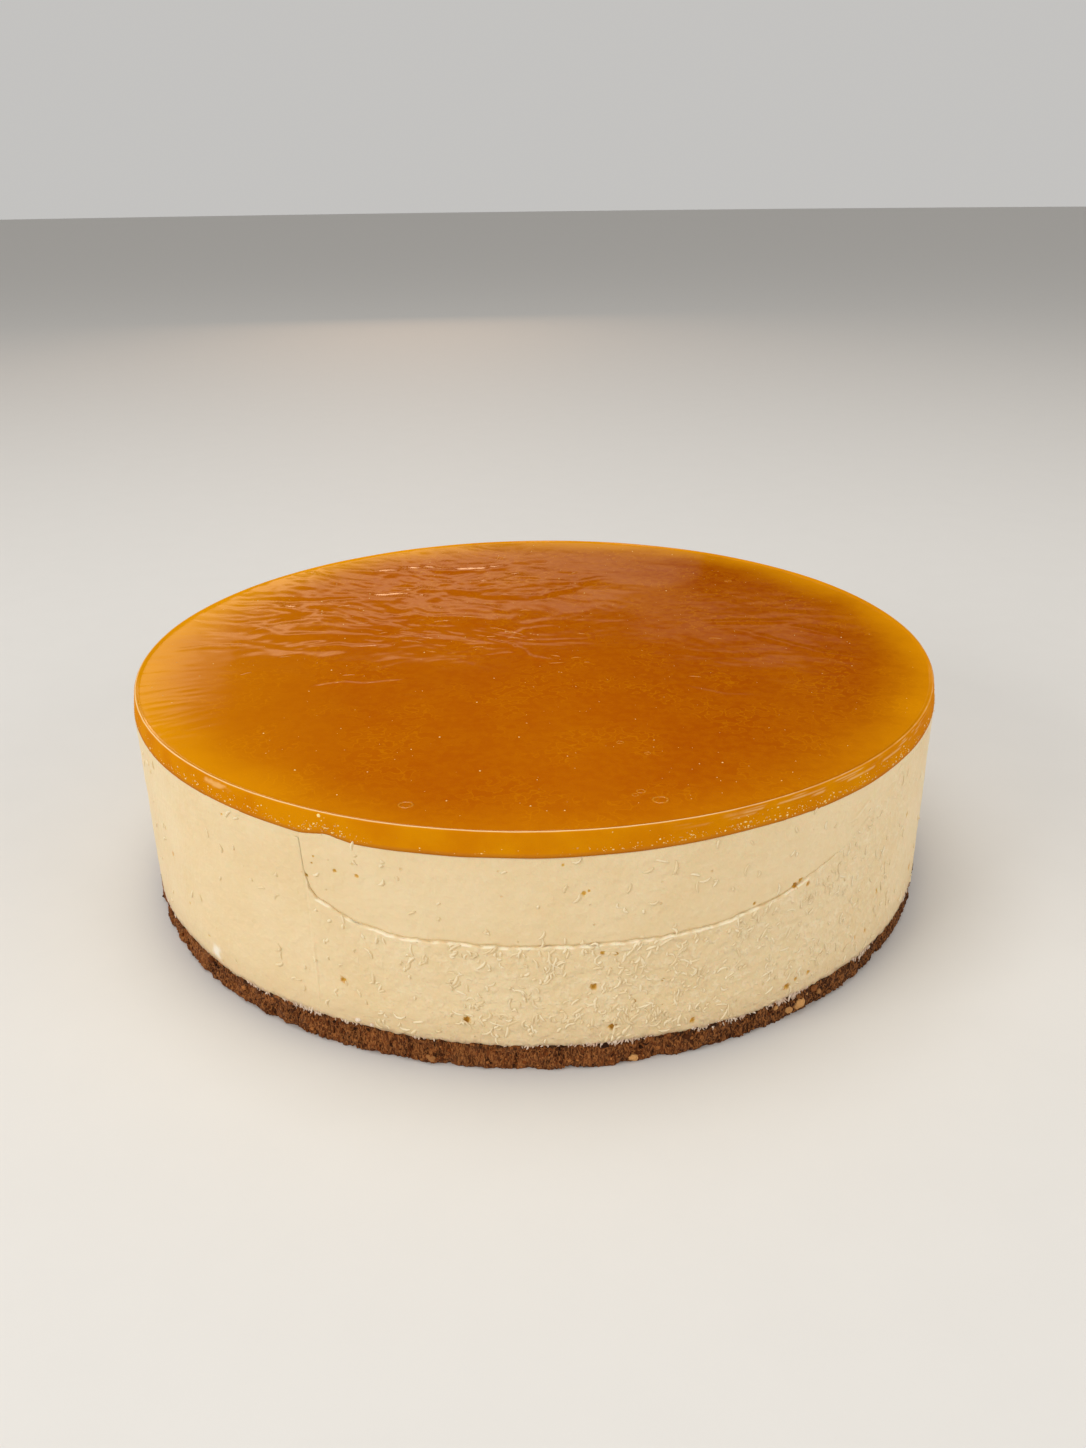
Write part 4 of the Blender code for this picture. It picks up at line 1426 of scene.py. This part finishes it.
class CHEESECAKE_OT_jelly_sheet(bpy.types.Operator):
    """Makes the jelly: a wrinkled top, a lip round the rim and a glossy side"""

    bl_idname = "cheesecake.jelly_sheet"
    bl_label = "Jelly sheet"

    def execute(self, context):
        settings = context.scene.cheesecake.jelly
        lip_start = RIM - settings.lip_width
        rings, turns = 12, 90
        profile = [(0, JELLY_BOTTOM), (LAYER_CORE, JELLY_BOTTOM)]
        profile += [(RIM, JELLY_BOTTOM + share * JELLY_THICKNESS) for share in (0, 0.5, 1)]
        profile += [(lip_start * (rings - ring) / rings, CAKE_HEIGHT) for ring in range(rings + 1)]
        shape = turned(profile, turns)
        refine(shape, lambda place: place.z > CAKE_HEIGHT - MM or place.xy.length > SIDE_BAND, 7)
        names = ("side", "lip", "lower_edge", "scuffed", "glow", "folded")
        self.side, self.lip, self.lower_edge, self.scuffed, self.glow, self.folds = new_marks(shape, *names)
        chord = math.cos(math.pi / turns)
        for point in shape.verts:
            radius, azimuth = around(point.co)
            on_top = point.co.z > CAKE_HEIGHT - WELD
            if not on_top and radius < SIDE_BAND:
                continue
            point[self.glow] = self.rim_glow(azimuth)
            if on_top:
                point[self.folds] = blend(folded(point.co.x, point.co.y), 0.25, 1)
            if on_top and radius < lip_start * chord * chord:
                point.co.z = jelly_surface(settings, point.co.x, point.co.y)
                continue
            crest = CAKE_HEIGHT + 0.04 * MM * (ripple(azimuth, 40, 7.7) - 1)
            if on_top:
                self.finish_lip(settings, point, radius, azimuth, crest)
            else:
                self.finish_side(point, azimuth, crest)
        finish = jelly_finish(settings)
        hand_over(add_piece("jelly_sheet", shape), finish, "jelly_top")
        return {"FINISHED"}

    def finish_lip(self, settings, point, radius, azimuth, crest):
        """Shapes and marks a point of the lip."""
        self.shape_lip(settings, point, radius, azimuth, crest)
        on_crest = blend(abs(radius - RIM + 0.2 * MM), 0.19 * MM, 0.07 * MM)
        point[self.side] = blend(radius, RIM - 0.3 * MM, RIM)
        # Painted highlight along the crest.
        point[self.lip] = self.lip_highlight(azimuth) * on_crest

    def finish_side(self, point, azimuth, crest):
        """Shapes and marks a point of the side."""
        bottom = JELLY_BOTTOM - JELLY_OVERLAP + jelly_wander(azimuth)
        share = 1 - max(1 - (point.co.z - JELLY_BOTTOM) / JELLY_THICKNESS, 0) ** 1.6
        self.shape_side(point, azimuth, bottom + share * (crest - bottom), crest)
        height = point.co.z
        point[self.side] = 1
        # Painted highlights in level lines under the lip.
        point[self.lip] = self.side_highlight_lines(azimuth, crest - height)
        point[self.scuffed] = self.scuff(azimuth, crest - height)
        point[self.lower_edge] = 0.45 * blend(height - bottom - JELLY_OVERLAP, 0.8 * MM, 0.1 * MM)

    def rim_glow(self, azimuth):
        """How strong the painted golden glow of the rim is: least at the front, most at the left."""
        turn = turn_from(azimuth, 12)
        if turn < 0:
            return 0.3 + 0.7 * blend(-turn, 20, 75)
        return 0.3 + 0.5 * blend(turn, 15, 60)

    def lip_highlight(self, azimuth):
        """How strong the painted highlight on the crest of the lip is: most at the front left, in dashes at
        the right.
        """
        left = blend(abs(turn_from(azimuth, -28)), 75, 40)
        dashes = 0.45 + 0.55 * blend(ripple(azimuth, 180, 2.9), -0.2, 0.3)
        return (0.35 + 0.6 * left) * (left + (1 - left) * dashes)

    def side_highlight_lines(self, azimuth, below):
        """Painted highlights in pale level lines under the lip at the right, broken into dashes."""
        there = blend(abs(turn_from(azimuth, 40)), 27, 12)
        if not there:
            return 0
        line = 0
        for number, level in enumerate((0.55 * MM, 1.15 * MM, 1.8 * MM)):
            level += 0.15 * MM * ripple(azimuth, 50, 5.5 + number)
            shown = blend(ripple(azimuth, 150, 8.8 + number), -0.05, 0.3)
            line = max(line, shown * blend(abs(below - level), 0.17 * MM, 0.04 * MM))
        return 0.32 * there * line

    def scuff(self, azimuth, below):
        """How strongly the pale scuff at the front left of the side shows there."""
        across = RIM * math.radians(turn_from(azimuth, -40.4)) / (5 * MM)
        ragged = 0.6 * noise.noise(on_side(azimuth, RIM, below) / (0.8 * MM))
        return 0.8 * blend(math.hypot(across, (below - 1.3 * MM) / (0.9 * MM)) + ragged, 1.0, 0.5)

    def shape_lip(self, settings, point, radius, azimuth, crest):
        """A point of the top's outermost ring: down from the crest, inwards to the level of the skin."""
        inside = RIM - radius
        if inside < JELLY_ROUNDING:
            angle = math.radians(90 - 45 * (1 - inside / JELLY_ROUNDING))
            self.round_off(point, azimuth, crest, angle)
            return
        lean = JELLY_LEAN * max(1 - inside / settings.lip_width, 0)
        skin = jelly_surface(settings, point.co.x, point.co.y)
        share = blend(inside, JELLY_ROUNDING, settings.lip_width)
        point.co = on_side(azimuth, radius - lean, crest + (skin - crest) * share)

    def shape_side(self, point, azimuth, height, crest):
        """A point of the side: straight up, with faint level ridges at the right, rounded at the top."""
        below = crest - height
        if below < JELLY_ROUNDING:
            self.round_off(point, azimuth, crest, math.radians(45 * (1 - below / JELLY_ROUNDING)))
            return
        ridged = blend(abs(turn_from(azimuth, 38)), 26, 8)
        wave = math.sin(height / (0.6 * MM) * math.pi + 3 * ripple(azimuth, 30, 4.4))
        bellied = 0.08 * MM * blend(below, 4.5 * MM, 1.5 * MM)
        stands_out = 0.05 * MM * ridged * wave + 0.07 * MM * ripple(azimuth, 20, 2.6)
        lean = JELLY_LEAN * (1 - min(below / JELLY_THICKNESS, 1))
        point.co = on_side(azimuth, RIM + 0.03 * MM + bellied + stands_out - lean, height)

    def round_off(self, point, azimuth, crest, angle):
        stands_out = 0.11 * MM + 0.07 * MM * ripple(azimuth, 20, 2.6)
        radius = RIM + stands_out - JELLY_LEAN - JELLY_ROUNDING * (1 - math.cos(angle))
        point.co = on_side(azimuth, radius, crest - JELLY_ROUNDING * (1 - math.sin(angle)))


class CHEESECAKE_OT_jelly_bubbles(bpy.types.Operator):
    """Makes the specks and blisters of air in the jelly's top and side"""

    bl_idname = "cheesecake.jelly_bubbles"
    bl_label = "Bubbles in the jelly"

    def execute(self, context):
        settings = context.scene.cheesecake.jelly
        finish = bubble_finish(settings)
        draw = random.Random(SEED + 2)
        self.top_specks(settings, finish, draw)
        self.side_specks(settings, finish, draw)
        self.blisters(settings, finish, draw)
        self.folds(settings, draw)
        return {"FINISHED"}

    def folds(self, settings, draw):
        """Narrow folds of the skin."""
        places = []
        skin = functools.partial(jelly_surface, settings)
        for x, y, length, degrees, bend in TOP_FOLDS:
            size = (length * MM, 0.55 * MM, 0.34 * MM)
            places.append(bent_on_top(x * MM, y * MM, size, math.radians(degrees), bend * MM, skin))
        tones = [0] * len(places)
        folds = scattered("jelly_folds", capsule(), places, tones, draw, (0.8, 1.1))
        finish = Finish("jelly_fold").set(base_color=settings.side, roughness=0.3, coat_weight=1.0)
        hand_over(folds, finish, "jelly_top")

    def top_specks(self, settings, finish, draw):
        places, tones = [], []
        for _ in range(settings.specks):
            radius = (RIM - 4 * MM) * math.sqrt(draw.random())
            azimuth = draw.uniform(0, math.tau)
            place = on_side(azimuth, radius, 0)
            width = 0.22 * MM + 0.36 * MM * draw.random() ** 4
            place.z = jelly_surface(settings, place.x, place.y) - 0.12 * width
            places.append(lying_at(place, (width, width, 0.7 * width), azimuth))
            tones.append(draw.uniform(0.2, 1))
        specks = scattered("jelly_top_specks", ball(1), places, tones, draw, (0.95, 1.05))
        hand_over(specks, finish, "jelly_top")

    def side_specks(self, settings, finish, draw):
        places, tones = [], []
        for number in range(settings.side_specks):
            crowd, spread = SPECK_CROWDS[number % len(SPECK_CROWDS)]
            lonely = number % 6 == 0
            azimuth = draw.uniform(0, math.tau) if lonely else math.radians(draw.gauss(crowd, spread))
            low = JELLY_BOTTOM + jelly_wander(azimuth) + 0.3 * MM
            width = 0.16 * MM + 0.4 * MM * draw.random() ** 5
            share = draw.choice((0.08, 0.3, 0.62, draw.random())) + draw.gauss(0, 0.06)
            height = low + min(max(share, 0), 1) * (CAKE_HEIGHT - 0.9 * MM - low)
            lean = JELLY_LEAN * (height - low) / (CAKE_HEIGHT - low)
            place = on_side(azimuth, RIM + 0.06 * MM - 0.2 * width - lean, height)
            places.append(lying_at(place, (draw.uniform(1, 2) * width, 0.8 * width, width), azimuth))
            tones.append(draw.uniform(0.2, 1))
        for degrees, height, width in SPARKS:
            azimuth = math.radians(degrees)
            width *= MM
            place = on_side(azimuth, RIM + 0.02 * MM - 0.8 * JELLY_LEAN, height * MM)
            places.append(lying_at(place, (width, 0.5 * width, 0.8 * width), azimuth))
            tones.append(1)
        specks = scattered("jelly_side_specks", ball(1), places, tones, draw, (0.9, 1.1))
        hand_over(specks, finish, "jelly_top")

    def blisters(self, settings, finish, draw):
        """Burst bubbles that left a thin ring."""
        ring = bmesh.new()
        start = ring.verts.new((0.5, 0, 0))
        bmesh.ops.create_circle(ring, cap_ends=False, radius=0.09, segments=8)
        ring.verts.remove(start)
        upright = Matrix.Translation((0.5, 0, 0)) @ Matrix.Rotation(math.pi / 2, 4, "X")
        bmesh.ops.transform(ring, matrix=upright, verts=ring.verts)
        geometry = ring.verts[:] + ring.edges[:]
        bmesh.ops.spin(
            ring, geom=geometry, cent=(0, 0, 0), axis=(0, 0, 1), angle=math.tau, steps=32, use_merge=True
        )
        bmesh.ops.recalc_face_normals(ring, faces=ring.faces)
        places = []
        for x, y, radius in TOP_BLISTERS:
            radius *= MM
            place = Vector((x * MM, y * MM, jelly_surface(settings, x * MM, y * MM)))
            places.append(lying_at(place, (2 * radius, 1.7 * radius, 0.8 * radius), 0))
        blisters = scattered("jelly_blisters", ring, places, [0.1] * len(places), draw, (0.97, 1.03))
        hand_over(blisters, finish, "jelly_top")


def softbox(name, place, target, size, brightness, tint, shape="RECTANGLE"):
    """An area light at place that faces target, unseen itself and as bright whatever its size."""
    lamp = bpy.data.lights.new(name, "AREA")
    lamp.shape = shape
    lamp.size, lamp.size_y = size
    lamp.energy = brightness * math.pi * size[0] * size[1]
    lamp.color = tint
    made = bpy.data.objects.new(name, lamp)
    bpy.context.scene.collection.objects.link(made)
    direction = Vector(target) - Vector(place)
    made.matrix_world = Matrix.Translation(place) @ direction.to_track_quat("-Z", "Y").to_matrix().to_4x4()
    made.visible_camera = False
    return made


class CHEESECAKE_OT_stage(bpy.types.Operator):
    """Makes the pale floor, the soft lights and the camera"""

    bl_idname = "cheesecake.stage"
    bl_label = "Stage"

    def execute(self, context):
        settings = context.scene.cheesecake.stage
        self.floor(settings)
        self.lights(settings)
        self.camera(settings)
        context.scene.view_settings.view_transform = "Standard"
        return {"FINISHED"}

    def floor(self, settings):
        shape = bmesh.new()
        bmesh.ops.create_circle(shape, cap_ends=True, segments=96, radius=12)
        floor = add_piece("floor", shape)
        finish = Finish("pale_floor")
        grain = finish.mix(finish.noise(60, 4.0), settings.floor, FLOOR_GRAIN)
        bumps = finish.bump(finish.noise(400, 3.0), 0.05 * MM, 0.3)
        floor.data.materials.append(finish.set(base_color=grain, roughness=0.7, normal=bumps))

    def lights(self, settings):
        world = bpy.data.worlds.new("soft_studio")
        world.use_nodes = True
        background = world.node_tree.nodes["Background"]
        background.inputs["Color"].default_value = (1.0, 0.985, 0.96, 1)
        background.inputs["Strength"].default_value = settings.ambient
        bpy.context.scene.world = world
        world.cycles_visibility.glossy = False
        middle = (0, 0, 0.5 * CAKE_HEIGHT)
        for name, place, size, brightness, tint, mirrored in LAMPS:
            lamp = softbox(name, place, middle, size, getattr(settings, brightness), tint)
            lamp.visible_glossy = mirrored
        for name, spot, seen, share in WINDOWS:
            self.window(name, spot, seen, share * settings.window)

    def window(self, name, spot, seen, brightness):
        """A softbox placed where the camera sees it mirrored in the jelly at a spot, as large as wanted."""
        spot = Vector((spot[0] * MM, spot[1] * MM, CAKE_HEIGHT))
        away = spot - Vector(CAMERA_PLACE)
        direction = Vector((away.x, away.y, -away.z)).normalized()
        grown = (away.length + WINDOW_DISTANCE) / away.length * MM
        size = (seen[0] * grown, seen[1] * grown * direction.z)
        place = spot + WINDOW_DISTANCE * direction
        softbox(name, place, spot, size, brightness, WINDOW_TINT, "ELLIPSE")

    def camera(self, settings):
        lens = bpy.data.cameras.new("camera")
        lens.lens = settings.lens
        lens.sensor_width = SENSOR_WIDTH
        lens.clip_start = 0.01
        camera = bpy.data.objects.new("camera", lens)
        bpy.context.scene.collection.objects.link(camera)
        pitch = Matrix.Rotation(math.pi / 2 - math.radians(CAMERA_PITCH), 4, "X")
        turn = pitch @ Matrix.Rotation(math.radians(CAMERA_ROLL), 4, "Z")
        camera.matrix_world = Matrix.Translation(CAMERA_PLACE) @ turn
        bpy.context.scene.camera = camera


OPERATORS = (
    CHEESECAKE_OT_crumb_base,
    CHEESECAKE_OT_crumb_grains,
    CHEESECAKE_OT_first_batch,
    CHEESECAKE_OT_teeth,
    CHEESECAKE_OT_ridges,
    CHEESECAKE_OT_second_batch,
    CHEESECAKE_OT_jelly_sheet,
    CHEESECAKE_OT_jelly_bubbles,
    CHEESECAKE_OT_stage,
)


class VIEW3D_PT_cheesecake(bpy.types.Panel):
    """Lists the steps and the settings of the cheesecake"""

    bl_label = "Cheesecake"
    bl_space_type = "VIEW_3D"
    bl_region_type = "UI"
    bl_category = "Cheesecake"

    def draw(self, context):
        for operator in OPERATORS:
            self.layout.operator(operator.bl_idname)
        settings = context.scene.cheesecake
        for group in (settings.crust, settings.filling, settings.jelly, settings.stage):
            box = self.layout.box()
            for name in group.bl_rna.properties.keys():
                if name not in ("rna_type", "name"):
                    box.prop(group, name)


CLASSES = (
    CrustSettings,
    FillingSettings,
    JellySettings,
    StageSettings,
    CheesecakeSettings,
    *OPERATORS,
    VIEW3D_PT_cheesecake,
)


def register():
    for made in CLASSES:
        bpy.utils.register_class(made)
    bpy.types.Scene.cheesecake = PointerProperty(type=CheesecakeSettings)


def unregister():
    del bpy.types.Scene.cheesecake
    for made in reversed(CLASSES):
        bpy.utils.unregister_class(made)


def main():
    register()
    bpy.ops.cheesecake.stage()
    bpy.ops.cheesecake.crumb_base()
    bpy.ops.cheesecake.crumb_grains()
    bpy.ops.cheesecake.first_batch()
    bpy.ops.cheesecake.teeth()
    bpy.ops.cheesecake.ridges()
    bpy.ops.cheesecake.second_batch()
    bpy.ops.cheesecake.jelly_sheet()
    bpy.ops.cheesecake.jelly_bubbles()


if __name__ == "__main__":
    main()
